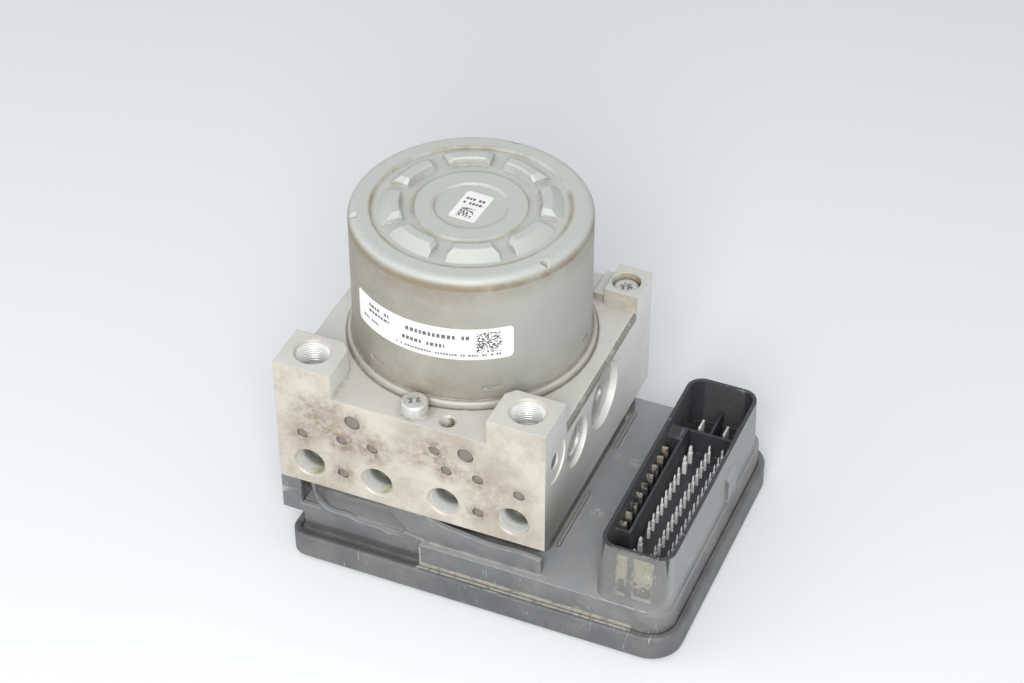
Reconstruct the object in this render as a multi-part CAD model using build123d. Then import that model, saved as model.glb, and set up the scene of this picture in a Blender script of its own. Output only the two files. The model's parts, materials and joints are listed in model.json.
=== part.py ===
"""Anti-lock brake hydraulic unit: valve block, pump motor and control unit.

Every sub-part is modelled in the block's own frame, whose origin is the front left corner of the
block's underside, with X to the right, Y to the back and Z up. Saving moves it to the part's frame,
whose origin is the middle of the footprint on the surface that the unit stands on. Millimetres.
"""

import os
from math import cos, pi, radians, sin

from build123d import *

# Valve block
BLOCK_WIDTH = 100.0
BLOCK_DEPTH = 100.5
SHELF_HEIGHT = 41.4
POST_RISE = 10.2
POST_WIDTH = 21.4
POST_DEPTH = 18.6
POST_CORNER = 3.4
POST_TAPER = 0.4
REAR_STEP_RISE = 2.0
REAR_STEP_WIDTH = 17.5
REAR_STEP_DEPTH = 13.5
PILLAR_RISE = 6.3
PILLAR_WIDTH = 12.6
PILLAR_DEPTH = 15.4
BLOCK_EDGE = 0.5
SIDE_TOP_EDGE = 1.1
POST_HEIGHT = SHELF_HEIGHT + POST_RISE
REAR_STEP_HEIGHT = SHELF_HEIGHT + REAR_STEP_RISE
PILLAR_HEIGHT = SHELF_HEIGHT + PILLAR_RISE

# Hydraulic ports
PORT_BORE_RADIUS = 5.46
PORT_MOUTH_RADIUS = 6.15
PORT_WALL = 8.0
PORT_CONE = 3.2
PORT_PASSAGE_RADIUS = 1.7
PORT_PASSAGE_LENGTH = 3.0
FRONT_PORT_HEIGHT = 9.3
FRONT_PORT_INNER = 12.5
FRONT_PORT_OUTER = 38.25
TOP_PORT_BORE_RADIUS = 5.96
TOP_PORT_MOUTH_RADIUS = 6.75
TOP_PORT_OFFSET = 39.6
TOP_PORT_FROM_FRONT = 9.9
TOP_PORT_WALL = 9.0

# Fixing holes of the bracket
BRACKET_HOLE_RADIUS = 2.55
BRACKET_MOUTH = 0.6
SHELF_HOLE_X = 62.3
SHELF_HOLE_Y = 5.6
SHELF_HOLE_DEPTH = 6.5

# Drillings closed by pressed plugs: offset from the middle, height, plug radius
PLUG_PAIRS = ((40.5, 22.1, 2.1), (21.0, 33.4, 3.0), (25.4, 24.0, 2.1), (13.8, 24.0, 2.1), (25.4, 8.8, 2.1))
SINGLE_PLUG = (9.5, 31.5, 2.1)
SIDE_PLUG_Y = 9.8
SIDE_PLUG_HEIGHT = 32.9
SIDE_PLUG_RADIUS = 3.2
SIDE_SPOT_RADIUS = 8.0
SIDE_SPOT_DEPTH = 0.6
DRILLING_RADIUS = 1.6
DRILLING_DEPTH = 15.0
PLUG_SINK = 0.5
PLUG_LENGTH = 3.0
PLUG_ROUNDING = 0.3

# Pump motor
MOTOR_X = BLOCK_WIDTH / 2
MOTOR_Y = 54.5
CAN_RADIUS = 41.8
CAN_WALL = 1.8
CAN_HEIGHT = 53.2
CAN_TOP = SHELF_HEIGHT + CAN_HEIGHT
CAN_SHOULDER = 3.2
FLANGE_RADIUS = 43.7
FLANGE_THICKNESS = 2.6
FLANGE_EDGE = 1.2
FLANGE_CREASE = 0.4
TOP_STEP_RADIUS = 34.0
TOP_STEP = 0.8
TOP_DISC_RADIUS = 19.2
TOP_POCKET_RADIUS = 12.9
TOP_EDGE = 0.5
PAD_COUNT = 8
PAD_PHASE = -65.0
PAD_INNER_RADIUS = 24.2
PAD_OUTER_RADIUS = 31.5
PAD_ANGLE = 34.0
PAD_HEIGHT = 3.2
PAD_FLAT = 3.4
PAD_CORNER = 1.6
PAD_EDGE = 0.5
NOTCH_COUNT = 3
NOTCH_PHASE = -29.0
NOTCH_WIDTH = 2.4
NOTCH_LENGTH = 6.0
STAKE_COUNT = 6
STAKE_PHASE = -117.0
STAKE_HEIGHT = SHELF_HEIGHT + 7.6
STAKE_LENGTH = 7.0
STAKE_WIDTH = 1.5
STAKE_DEPTH = 0.7
SHAFT_RADIUS = 4.0
SHAFT_TOP = CAN_TOP - 3.2
SHAFT_EDGE = 0.5
RUNNING_CLEARANCE = 0.03
ROTOR_CLEARANCE = 0.8
BUSHING_RADIUS = 7.5
BUSHING_LENGTH = 6.0
BUSHING_COLLAR = 1.6
BEARING_RADIUS = 11.0
BEARING_WIDTH = 7.0
BEARING_GROOVE = 0.5
BEARING_RING = 2.2
MAGNET_COUNT = 4
MAGNET_ANGLE = 74.0
MAGNET_THICKNESS = 5.5
MAGNET_BOTTOM = SHELF_HEIGHT + 15.6
MAGNET_TOP = CAN_TOP - 8.6
CORE_BOTTOM = SHELF_HEIGHT + 19.1
CORE_TOP = CAN_TOP - 12.6
SLOT_COUNT = 12
SLOT_WIDTH = 5.0
SLOT_ROOT = 14.0
WIRE_CLEARANCE = 0.1
WINDING_INNER_RADIUS = 12.0
WINDING_INSET = 3.0
WINDING_OVERHANG = 5.0
WINDING_ROUNDING = 3.0
COMMUTATOR_RADIUS = 10.5
COMMUTATOR_BOTTOM = SHELF_HEIGHT + 3.2
COMMUTATOR_BARS = 12
COMMUTATOR_SLIT = 0.6
HOLDER_THICKNESS = 2.4
HOLDER_FIT = 0.2
BRUSH_WIDTH = 6.0
BRUSH_HEIGHT = 5.0
BRUSH_LENGTH = 13.0
BRUSH_BOTTOM = SHELF_HEIGHT + 4.2
BRUSH_BOX_WALL = 1.4
BRUSH_FIT = 0.1
CONTACT_RADIUS = 1.2
CONTACT_HOLE_RADIUS = 2.3
CONTACT_SPREAD = 24.0
CONTACT_Y = 84.0
CONTACT_SOCKET_WALL = 1.6
CONTACT_SOCKET_HEIGHT = 3.0
CONTACT_GRIP = 2.0

# Pump, driven by an eccentric on the motor's shaft
PUMP_DEPTH = 14.4
PUMP_HEIGHT = SHELF_HEIGHT - PUMP_DEPTH
ECCENTRICITY = 1.2
ECCENTRIC_RADIUS = 5.8
ECCENTRIC_LENGTH = 10.0
RING_RADIUS = 8.5
RING_SIDE_CLEARANCE = 0.3
TIP_CLEARANCE = 0.3
CHAMBER_RADIUS = 10.4
CHAMBER_BOTTOM = PUMP_HEIGHT - 9.6
SHAFT_BOTTOM = PUMP_HEIGHT - 8.8
PISTON_RADIUS = 4.0
PISTON_LENGTH = 17.5
PISTON_CLEARANCE = 0.03
PISTON_EDGE = 0.4
SLEEVE_RADIUS = 7.5
SLEEVE_START = 11.6
PUMP_SPRING_ROOM = 4.8
PUMP_SPRING_RADIUS = 3.45
PUMP_WIRE_RADIUS = 0.5
PUMP_SPRING_TURNS = 4
PUMP_MOUTH_RADIUS = 12.5
PUMP_CAP_RECESS = 2.5
PUMP_CAP_THICKNESS = 7.5
PUMP_CAP_SPIGOT = 1.5
PUMP_CAP_DISH = 3.0
CAP_DISH_DEPTH = 0.8
CAP_EDGE = 0.8
CAP_DISH_SLOPE = 0.4

# Low-pressure accumulators
ACCUMULATOR_Y = 29.0
ACCUMULATOR_HEIGHT = 26.0
ACCUMULATOR_RADIUS = 9.2
ACCUMULATOR_DEPTH = 36.0
ACCUMULATOR_RECESS = 1.5
ACCUMULATOR_CAP = 7.0
ACCUMULATOR_CAP_DISH = 5.5
ACCUMULATOR_PISTON = 9.0
ACCUMULATOR_CLEARANCE = 0.05
ACCUMULATOR_END_CLEARANCE = 0.3
SEAL_RADIUS = 0.9
SEAL_SINK = 0.05
ACCUMULATOR_SPRING_RADIUS = 6.6
ACCUMULATOR_WIRE_RADIUS = 0.8
ACCUMULATOR_SPRING_TURNS = 4
SPRING_CUP_WALL = 2.2
SPRING_CUP_DEPTH = 2.0

# Solenoid valves and their coils, in two rows under the block
VALVE_COLUMN_COUNT = 4
VALVE_FROM_SIDE = 18.5
VALVE_PITCH = (BLOCK_WIDTH - 2 * VALVE_FROM_SIDE) / (VALVE_COLUMN_COUNT - 1)
INLET_ROW = 26.0
OUTLET_ROW = 47.0
VALVE_RADIUS = 5.5
VALVE_DEPTH = 12.0
VALVE_TIP = 1.5
VALVE_TIP_EDGE = 1.0
VALVE_COLLAR_RADIUS = 6.8
VALVE_COLLAR = 1.0
DOME_RADIUS = 4.0
DOME_LENGTH = 15.5
DOME_EDGE = 1.5
COIL_RADIUS = 8.6
COIL_HEIGHT = 13.6
COIL_FIT = 0.15
COIL_FLANGE = 1.2
COIL_WAIST = 1.0
COIL_GAP = 1.0
TERMINAL_SPREAD = 5.0
TERMINAL_THICKNESS = 0.8
TERMINAL_INSET = 1.4

# Control unit
UNIT_HEIGHT = 31.5
COVER_LEFT = 4.4
COVER_REACH = 49.0
COVER_FRONT = 6.0
COVER_BACK = 2.0
COVER_TOP = -21.0
COVER_WALL = 2.4
COVER_FLOOR = 2.0
COVER_LEDGE = 1.8
COVER_CORNER_LEFT = 6.5
COVER_CORNER_RIGHT = 11.5
COVER_BOTTOM_EDGE = 1.2
COVER_TOP_EDGE = 0.6
FIT_CLEARANCE = 0.3
FLANGE_TOP = -22.6
FLANGE_PLATE = 2.0
SEAL_THICKNESS = 0.8
SKIRT_FRONT = 2.6
SKIRT_SETBACK = 0.0
SKIRT_STEP_X = 54.0
SKIRT_BACK_INSET = 2.6
SKIRT_CORNER = 9.0
HOUSING_WALL = 2.4
DECK_TOP = -12.0
DECK_THICKNESS = 2.0
COIL_FLOOR_TOP = -18.6
COIL_FLOOR_THICKNESS = 1.6
COLLAR_INSET = 3.0
COLLAR_GAP = 0.8
COLLAR_WALL = 2.2
COLLAR_CORNER = 4.0
BLOCK_SEAL = 1.0
DECK_BEADS = ((15.0, 44.0), (70.0, 91.0))
DECK_BEAD_WIDTH = 1.0
DECK_BEAD_HEIGHT = 1.4
DECK_BEAD_INSET = 1.4
STRIP_THICKNESS = 2.0
STRIP_SINK = 3.0
STRIP_SHELF = 1.0
BACK_STRIP_TOP = -5.5
# Front strip, seen from the front: (x, z) from the block's lower left corner
STRIP_GAP = ((7.4, 0.0), (11.6, 0.0), (12.4, -3.9), (13.5, -7.8), (14.6, -10.5), (14.6, -11.5), (7.4, -11.5))
STRIP_RECESS = (
    (13.4, -3.9), (14.5, -7.8), (17.5, -10.9), (25.0, -11.2), (29.9, -12.5), (37.4, -12.6), (42.7, -13.6),
    (46.5, -11.5), (47.3, -8.3), (45.9, -6.3), (43.0, -3.0),
)
STRIP_RECESS_MOUTH = (12.6, 40.0)
STRIP_SLOT = ((44.8, -9.1), (56.7, -10.8), (56.7, -12.2), (44.8, -10.5))
# The strip's top edge at the right, from its right end
STRIP_LIP = (
    (-42.5, 0.0), (-41.5, -0.8), (-35.5, -3.0), (-28.5, -3.9), (-18.5, -5.0), (-8.5, -4.6), (0.0, -5.5),
)
BOARD_THICKNESS = 1.6
BOARD_TOP = -25.2
BOARD_INSET = 5.0
BOARD_CORNER_LEFT = 3.0
BOARD_CORNER_RIGHT = 7.0
CHIP_HEIGHT = 1.7
CHIP_SINK = 0.2
# Chips under the board: middle x, middle y, length, width
CHIPS = ((42.0, 70.0, 24.0, 24.0), (77.0, 27.0, 14.0, 14.0), (77.0, 51.0, 14.0, 14.0))
CAPACITOR_RADIUS = 5.0
CAPACITOR_HEIGHT = 9.0
CAPACITOR_FROM_BLOCK = 10.0
CAPACITOR_Y = (24.0, 40.0)
STANDOFF_RADIUS = 3.0
STANDOFF_FROM_SIDE = 14.0
STANDOFF_FROM_SHROUD = 12.0
STANDOFF_FRONT = 8.0
STANDOFF_BACK = 92.0
STANDOFF_LEFT_BACK = 88.0

# Connector shroud
SHROUD_TOP = 11.0
SHROUD_GAP = 18.9
SHROUD_LEFT = BLOCK_WIDTH + SHROUD_GAP
SHROUD_WIDTH = 26.1
SHROUD_FRONT = 0.4
SHROUD_LENGTH = 94.0
SHROUD_DRAFT = 0.7
SHROUD_FRONT_DRAFT = 3.0
SHROUD_CORNER = 6.0
SHROUD_WALL = 1.3
SHROUD_FLOOR = -8.0
SHROUD_FLOOR_THICKNESS = 4.0
SHROUD_FLOOR_INSET = 3.0
PANEL_DEPTH = 1.0
PANEL_BOTTOM = -7.8
PANEL_TOP = 8.7
# Recesses in the shroud's front: distance from its left side, width
PANELS = ((7.5, 3.6), (13.3, 7.0))
CHANNEL_WALL_X = SHROUD_LEFT + 6.4
CHANNEL_WALL = 1.0
CHANNEL_FRONT = 14.0
CHANNEL_BACK = 65.5
CHANNEL_BLOCK = 6.5
CHANNEL_TOP = 6.0
CHANNEL_RIBS = 9
CHANNEL_RIB = 1.0
CHANNEL_RIB_GAP = 2.9
CHANNEL_RIB_DROP = 1.0
CROSS_WALL_Y = 75.4
CROSS_WALL_TOP = 2.0
DIVIDER_X = SHROUD_LEFT + 13.4
DIVIDER_LENGTH = 14.5
DIVIDER_DROP = 1.0
LATCH_Y = 61.0
LATCH_WIDTH = 9.0
LATCH_HEIGHT = 12.0
LATCH_REACH = 1.6
LATCH_LIFT = 1.5
LATCH_BEVEL = 1.3
BOSS_X = SHROUD_LEFT + 20.1
BOSS_Y = 95.2
BOSS_RADIUS = 4.2
BOSS_TOP = -9.8

# Terminals
PIN_SIZE = 0.64
PIN_TOP = 0.0
PIN_POINT = 0.9
PIN_TIP_SHARE = 0.4
PIN_SHOULDER = 0.18
PIN_SHOULDER_RISE = 4.8
PIN_PITCH = 4.25
PIN_START = 13.0
# Pin rows, tied to the shroud's left side; shifts and places are in pitches along the row
PIN_ROW_A = SHROUD_LEFT + 8.7
PIN_ROW_B = SHROUD_LEFT + 14.9
PIN_ROW_C = SHROUD_LEFT + 19.9
PIN_ROW_A_COUNT = 8
PIN_ROW_A_SHIFT = 3.5
PIN_ROW_B_COUNT = 15
PIN_ROW_C_COUNT = 14
PIN_ROW_C_SHIFT = 0.9
WIDE_PIN_SIZE = 1.1
WIDE_PIN_PLACES = (0, 1.5, 12.0, 13.4)
BLADE_X = (SHROUD_LEFT + 8.6, SHROUD_LEFT + 17.9)
BLADE_Y = 81.4
BLADE_LENGTH = 4.8
BLADE_THICKNESS = 0.8
BLADE_TOP = 1.2
BLADE_BEVEL = 0.24

# Screws that hold the control unit to the block
SCREW_FRONT = (49.7, 6.6)
SCREW_REAR_FROM_SIDE = 6.8
SCREW_REAR_Y = 92.0
SCREW_RADIUS = 2.5
SCREW_HOLE_CLEARANCE = 0.25
SCREW_HEAD_RADIUS = 4.7
SCREW_HEAD_HEIGHT = 4.4
SCREW_HEAD_EDGE = 0.9
SCREW_SINK_RADIUS = 5.25
SCREW_SINK_DEPTH = 6.5
SCREW_BOTTOM = -13.0
SCREW_BOSS_WALL = 2.2
DRIVE_SPAN = 4.6
DRIVE_LOBE = 1.3
DRIVE_DEPTH = 2.2
RELIEF_RADIUS = 7.2
RELIEF_DEPTH = 0.8

# Derived levels and places
COVER_RIGHT = BLOCK_WIDTH + COVER_REACH
COVER_BACK_Y = BLOCK_DEPTH + COVER_BACK
CAN_INNER_RADIUS = CAN_RADIUS - CAN_WALL
CAN_CEILING = CAN_TOP - TOP_STEP - CAN_WALL
CORE_RADIUS = CAN_INNER_RADIUS - MAGNET_THICKNESS - ROTOR_CLEARANCE
BEARING_BOTTOM = SHELF_HEIGHT - BEARING_WIDTH
PISTON_TIP = RING_RADIUS + 2 * ECCENTRICITY + TIP_CLEARANCE
PUMP_SHOULDER = BLOCK_WIDTH / 2 - PUMP_CAP_RECESS - PUMP_CAP_THICKNESS
SLEEVE_END = PUMP_SHOULDER - PUMP_CAP_SPIGOT
PISTON_END = PISTON_TIP + PISTON_LENGTH
COIL_TOP = -VALVE_COLLAR - COIL_GAP
FLANGE_BOTTOM = FLANGE_TOP - FLANGE_PLATE
LEDGE_TOP = FLANGE_BOTTOM - SEAL_THICKNESS
SKIRT_RIGHT = COVER_RIGHT - COVER_WALL - FIT_CLEARANCE
SKIRT_LEFT = COVER_LEFT + COVER_WALL + FIT_CLEARANCE
SKIRT_BACK = COVER_BACK_Y - SKIRT_BACK_INSET
STRIP_BOTTOM = DECK_TOP - STRIP_SINK
CAVITY_LEFT = SHROUD_LEFT + SHROUD_WALL
CAVITY_RIGHT = SHROUD_LEFT + SHROUD_WIDTH - SHROUD_WALL
CAVITY_FRONT = SHROUD_FRONT + SHROUD_WALL
CAVITY_BACK = SHROUD_FRONT + SHROUD_LENGTH - SHROUD_WALL
SCREWS = (
    (SCREW_FRONT[0], SCREW_FRONT[1], SHELF_HEIGHT),
    (SCREW_REAR_FROM_SIDE, SCREW_REAR_Y, PILLAR_HEIGHT - SCREW_SINK_DEPTH),
    (BLOCK_WIDTH - SCREW_REAR_FROM_SIDE, SCREW_REAR_Y, PILLAR_HEIGHT - SCREW_SINK_DEPTH),
)
COLLAR_FRONT = SCREW_FRONT[1] + SCREW_RADIUS + COLLAR_GAP
COLLAR_BACK = SCREW_REAR_Y - SCREW_RADIUS - COLLAR_GAP
SIDES = {"left": -1, "right": 1}
PAST = 1.0


def span(x0, x1, y0, y1, z0, z1):
    """A box from its six sides."""
    return Pos((x0 + x1) / 2, (y0 + y1) / 2, (z0 + z1) / 2) * Box(x1 - x0, y1 - y0, z1 - z0)


def upright(x, y, radius, z0, z1):
    """A cylinder along Z from z0 to z1."""
    return Pos(x, y, (z0 + z1) / 2) * Cylinder(radius, z1 - z0)


def along_y(x, z, radius, y0, y1):
    """A cylinder along Y from y0 to y1."""
    return Pos(x, (y0 + y1) / 2, z) * Rot(90, 0, 0) * Cylinder(radius, y1 - y0)


def along_x(y, z, radius, x0, x1):
    """A cylinder along X from x0 to x1."""
    return Pos((x0 + x1) / 2, y, z) * Rot(0, 90, 0) * Cylinder(radius, x1 - x0)


def tube(x, y, outer, inner, z0, z1):
    """An upright tube."""
    return upright(x, y, outer, z0, z1) - upright(x, y, inner, z0 - PAST, z1 + PAST)


def turned(points):
    """A solid turned about Z from (radius, height) points."""
    outline = Plane.XZ * make_face(Polyline(*points, close=True).edges())
    return revolve(outline, Axis.Z)


def plate_outline(x0, x1, y0, y1, left, right):
    """A rectangle with one corner radius on its left side and another on its right side."""
    shape = Pos((x0 + x1) / 2, (y0 + y1) / 2) * Rectangle(x1 - x0, y1 - y0)
    corners = shape.vertices()
    shape = fillet([v for v in corners if v.X < (x0 + x1) / 2], left)
    return fillet([v for v in shape.vertices() if v.X > x1 - right / 2], right)


def plate(x0, x1, y0, y1, left, right, z0, z1):
    """An upright prism on a plate outline."""
    return Pos(0, 0, z0) * extrude(plate_outline(x0, x1, y0, y1, left, right), z1 - z0)


def frame_ring(x0, x1, y0, y1, left, right, wall, z0, z1):
    """A plate with its inside taken out, wall thick all round."""
    outer = plate(x0, x1, y0, y1, left, right, z0, z1)
    inner = plate(x0 + wall, x1 - wall, y0 + wall, y1 - wall, left - wall, right - wall, z0 - PAST, z1 + PAST)
    return outer - inner


def port_cutter(bore, mouth, wall):
    """A port pointing up at z = 0: chamfered mouth, threaded wall, cone seat and passage."""
    lead = mouth - bore
    depth = lead + wall
    floor = depth + PORT_CONE
    end = floor + PORT_PASSAGE_LENGTH
    return turned([
        (0, PAST), (mouth + PAST, PAST), (bore, -lead), (bore, -depth),
        (PORT_PASSAGE_RADIUS, -floor), (PORT_PASSAGE_RADIUS, -end), (0, -end),
    ])


def tapped_cutter(depth):
    """A small tapped hole pointing up at z = 0, with a chamfered mouth and a drill point."""
    mouth = BRACKET_HOLE_RADIUS + BRACKET_MOUTH
    return turned([
        (0, PAST), (mouth + PAST, PAST), (BRACKET_HOLE_RADIUS, -BRACKET_MOUTH),
        (BRACKET_HOLE_RADIUS, -depth), (0, -depth - BRACKET_HOLE_RADIUS / 2),
    ])


def mirrored(shape):
    """The same shape on the other side of the block's middle plane."""
    return mirror(shape, Plane.YZ.offset(MOTOR_X))


def post_outline():
    """Plan of the left front post, with its inner back corner cut for the motor."""
    return make_face(Polyline(
        (0, 0), (POST_WIDTH, 0), (POST_WIDTH - POST_TAPER, POST_DEPTH - POST_CORNER),
        (POST_WIDTH - POST_CORNER, POST_DEPTH), (0, POST_DEPTH), close=True,
    ).edges())


def block_body():
    """The block before it is bored: slab, front posts, rear steps and rear pillars."""
    body = span(0, BLOCK_WIDTH, 0, BLOCK_DEPTH, 0, SHELF_HEIGHT)
    post = extrude(post_outline(), POST_HEIGHT)
    step = span(0, REAR_STEP_WIDTH, BLOCK_DEPTH - REAR_STEP_DEPTH, BLOCK_DEPTH, 0, REAR_STEP_HEIGHT)
    pillar = span(0, PILLAR_WIDTH, BLOCK_DEPTH - PILLAR_DEPTH, BLOCK_DEPTH, 0, PILLAR_HEIGHT)
    side = post + step + pillar
    return body + side + mirrored(side)


def block_bores():
    """Everything that is bored or drilled into the block."""
    front = Rot(90, 0, 0) * port_cutter(PORT_BORE_RADIUS, PORT_MOUTH_RADIUS, PORT_WALL)
    cuts = []
    for offset in (-FRONT_PORT_OUTER, -FRONT_PORT_INNER, FRONT_PORT_INNER, FRONT_PORT_OUTER):
        cuts.append(Pos(MOTOR_X + offset, 0, FRONT_PORT_HEIGHT) * front)
    top = port_cutter(TOP_PORT_BORE_RADIUS, TOP_PORT_MOUTH_RADIUS, TOP_PORT_WALL)
    for side in SIDES.values():
        cuts.append(Pos(MOTOR_X + side * TOP_PORT_OFFSET, TOP_PORT_FROM_FRONT, POST_HEIGHT) * top)
    cuts.append(Pos(SHELF_HOLE_X, SHELF_HOLE_Y, SHELF_HEIGHT) * tapped_cutter(SHELF_HOLE_DEPTH))
    spot = along_x(SIDE_PLUG_Y, SIDE_PLUG_HEIGHT, SIDE_SPOT_RADIUS,
                   BLOCK_WIDTH - SIDE_SPOT_DEPTH, BLOCK_WIDTH + PAST)
    end = BLOCK_WIDTH - SIDE_SPOT_DEPTH - PLUG_SINK - PLUG_LENGTH
    spot += along_x(SIDE_PLUG_Y, SIDE_PLUG_HEIGHT, SIDE_PLUG_RADIUS, end, BLOCK_WIDTH)
    spot += along_x(SIDE_PLUG_Y, SIDE_PLUG_HEIGHT, DRILLING_RADIUS, BLOCK_WIDTH - DRILLING_DEPTH, BLOCK_WIDTH)
    cuts += [spot, mirrored(spot)]
    for x, height, radius in plug_places():
        cuts.append(along_y(x, height, radius, -PAST, PLUG_SINK + PLUG_LENGTH))
        cuts.append(along_y(x, height, DRILLING_RADIUS, 0, DRILLING_DEPTH))
    cuts.append(upright(MOTOR_X, MOTOR_Y, BEARING_RADIUS, BEARING_BOTTOM, SHELF_HEIGHT + PAST))
    cuts.append(upright(MOTOR_X, MOTOR_Y, CHAMBER_RADIUS, CHAMBER_BOTTOM, SHELF_HEIGHT))
    half = BLOCK_WIDTH / 2
    pump = along_x(MOTOR_Y, PUMP_HEIGHT, SLEEVE_RADIUS, MOTOR_X, MOTOR_X + half)
    pump += along_x(MOTOR_Y, PUMP_HEIGHT, PUMP_MOUTH_RADIUS, MOTOR_X + PUMP_SHOULDER, BLOCK_WIDTH + PAST)
    store = along_x(ACCUMULATOR_Y, ACCUMULATOR_HEIGHT, ACCUMULATOR_RADIUS,
                    BLOCK_WIDTH - ACCUMULATOR_DEPTH, BLOCK_WIDTH + PAST)
    cuts += [pump, mirrored(pump), store, mirrored(store)]
    for x, y in valve_places().values():
        cuts.append(upright(x, y, VALVE_RADIUS, -PAST, VALVE_DEPTH))
        cuts.append(upright(x, y, DOME_RADIUS, 0, VALVE_DEPTH + VALVE_TIP))
    for x, y, seat in SCREWS:
        cuts.append(upright(x, y, SCREW_RADIUS + SCREW_HOLE_CLEARANCE, -PAST, seat + PAST))
    for x, y, seat in SCREWS[1:]:
        cuts.append(upright(x, y, SCREW_SINK_RADIUS, seat, PILLAR_HEIGHT + PAST))
    for x in contact_places():
        cuts.append(upright(x, CONTACT_Y, CONTACT_HOLE_RADIUS, -PAST, SHELF_HEIGHT + PAST))
    return cuts


def side_edges(shape):
    """The shelf's long top edges on the block's left and right sides."""
    found = shape.edges().filter_by(Axis.Y)
    return [
        e for e in found
        if abs(e.center().Z - SHELF_HEIGHT) < 0.01
        and min(abs(e.center().X), abs(e.center().X - BLOCK_WIDTH)) < 0.01
    ]


def valve_block():
    """The bored aluminium block."""
    body = block_body()
    body = chamfer(body.edges().filter_by(Axis.Z).filter_by(
        lambda e: abs(e.center().Y - BLOCK_DEPTH) < 0.01
        and min(abs(e.center().X), abs(e.center().X - BLOCK_WIDTH)) < 0.01), BLOCK_EDGE)
    body = chamfer(side_edges(body), SIDE_TOP_EDGE)
    relief = turned([(0, PAST), (RELIEF_RADIUS + PAST, PAST), (RELIEF_RADIUS, 0), (0, -RELIEF_DEPTH * 2)])
    x, y, seat = SCREWS[0]
    relief -= upright(0, 0, SCREW_HEAD_RADIUS, -RELIEF_DEPTH * 3, PAST * 2)
    body -= Pos(x, y, seat) * relief
    for cut in block_bores():
        body -= cut
    return body


def plug_places():
    """Middle x, height and radius of every pressed plug on the front."""
    places = []
    for offset, height, radius in PLUG_PAIRS:
        places.append((MOTOR_X - offset, height, radius))
        places.append((MOTOR_X + offset, height, radius))
    places.append((MOTOR_X + SINGLE_PLUG[0], SINGLE_PLUG[1], SINGLE_PLUG[2]))
    return places


def passage_plugs():
    """The pressed plugs, each a short pin with a rounded outer end."""
    plugs = []
    for x, height, radius in plug_places():
        pin = along_y(x, height, radius, PLUG_SINK, PLUG_SINK + PLUG_LENGTH)
        outer = pin.edges().group_by(Axis.Y)[0]
        plugs.append(fillet(outer, radius * PLUG_ROUNDING))
    start = BLOCK_WIDTH - SIDE_SPOT_DEPTH - PLUG_SINK
    pin = along_x(SIDE_PLUG_Y, SIDE_PLUG_HEIGHT, SIDE_PLUG_RADIUS, start - PLUG_LENGTH, start)
    pin = fillet(pin.edges().group_by(Axis.X)[-1], SIDE_PLUG_RADIUS * PLUG_ROUNDING)
    return Compound(plugs + [pin, mirrored(pin)])


def can_outline():
    """Half section of the motor's can, radius against height."""
    foot = SHELF_HEIGHT
    wall_top = CAN_TOP - CAN_SHOULDER
    bead_top = foot + FLANGE_THICKNESS
    bead_side = (FLANGE_RADIUS, bead_top - FLANGE_EDGE)
    bead_crest = (FLANGE_RADIUS - FLANGE_EDGE, bead_top)
    inner = CAN_INNER_RADIUS
    inside_shoulder = CAN_SHOULDER - CAN_WALL
    floor = CAN_TOP - TOP_STEP
    outer_arc = RadiusArc((CAN_RADIUS, wall_top), (CAN_RADIUS - CAN_SHOULDER, CAN_TOP), -CAN_SHOULDER)
    inside_end = (inner - inside_shoulder, CAN_CEILING)
    inner_arc = RadiusArc(inside_end, (inner, CAN_CEILING - inside_shoulder), inside_shoulder)
    outside = Polyline((inner, foot), (FLANGE_RADIUS, foot), bead_side).edges()
    outside += RadiusArc(bead_side, bead_crest, -FLANGE_EDGE).edges()
    outside += Polyline(bead_crest, (CAN_RADIUS, bead_top - FLANGE_CREASE), (CAN_RADIUS, wall_top)).edges()
    top = Polyline(
        (CAN_RADIUS - CAN_SHOULDER, CAN_TOP), (TOP_STEP_RADIUS + TOP_EDGE, CAN_TOP), (TOP_STEP_RADIUS, floor),
        (TOP_DISC_RADIUS + TOP_EDGE, floor), (TOP_DISC_RADIUS, CAN_TOP), (TOP_POCKET_RADIUS, CAN_TOP),
        (TOP_POCKET_RADIUS - TOP_EDGE, floor), (0, floor), (0, CAN_CEILING), inside_end,
    )
    side = Line((inner, CAN_CEILING - inside_shoulder), (inner, foot))
    return make_face(outside + outer_arc.edges() + top.edges() + inner_arc.edges() + side.edges())


def wedge_face(reach, angle):
    """A triangle about the X axis that covers this angle out to at least this reach."""
    half = radians(angle / 2)
    far = reach / cos(half)
    return make_face(Polyline(
        (0, 0), (far * cos(half), -far * sin(half)), (far * cos(half), far * sin(half)), close=True,
    ).edges())


def can_pad(angle):
    """One raised arc pad on the can's top: a flat crest and a slope down to its outer side."""
    floor = CAN_TOP - TOP_STEP
    crest = floor + PAD_HEIGHT
    inner = PAD_INNER_RADIUS
    ring = turned([
        (inner, floor - PAD_EDGE), (inner, crest - PAD_EDGE), (inner + PAD_EDGE, crest),
        (inner + PAD_FLAT, crest), (PAD_OUTER_RADIUS, floor), (PAD_OUTER_RADIUS, floor - PAD_EDGE),
    ])
    wedge = extrude(wedge_face(PAD_OUTER_RADIUS + PAST, PAD_ANGLE), PAD_HEIGHT + PAD_EDGE + PAST)
    pad = ring & (Pos(0, 0, floor - PAD_EDGE) * wedge)
    ends = pad.faces().sort_by(Axis.Y)
    crests = [e for e in ends[0].edges() + ends[-1].edges() if e.center().Z > crest - PAD_EDGE]
    pad = chamfer(crests, PAD_CORNER)
    return Pos(MOTOR_X, MOTOR_Y, 0) * Rot(0, 0, angle) * pad


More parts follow.
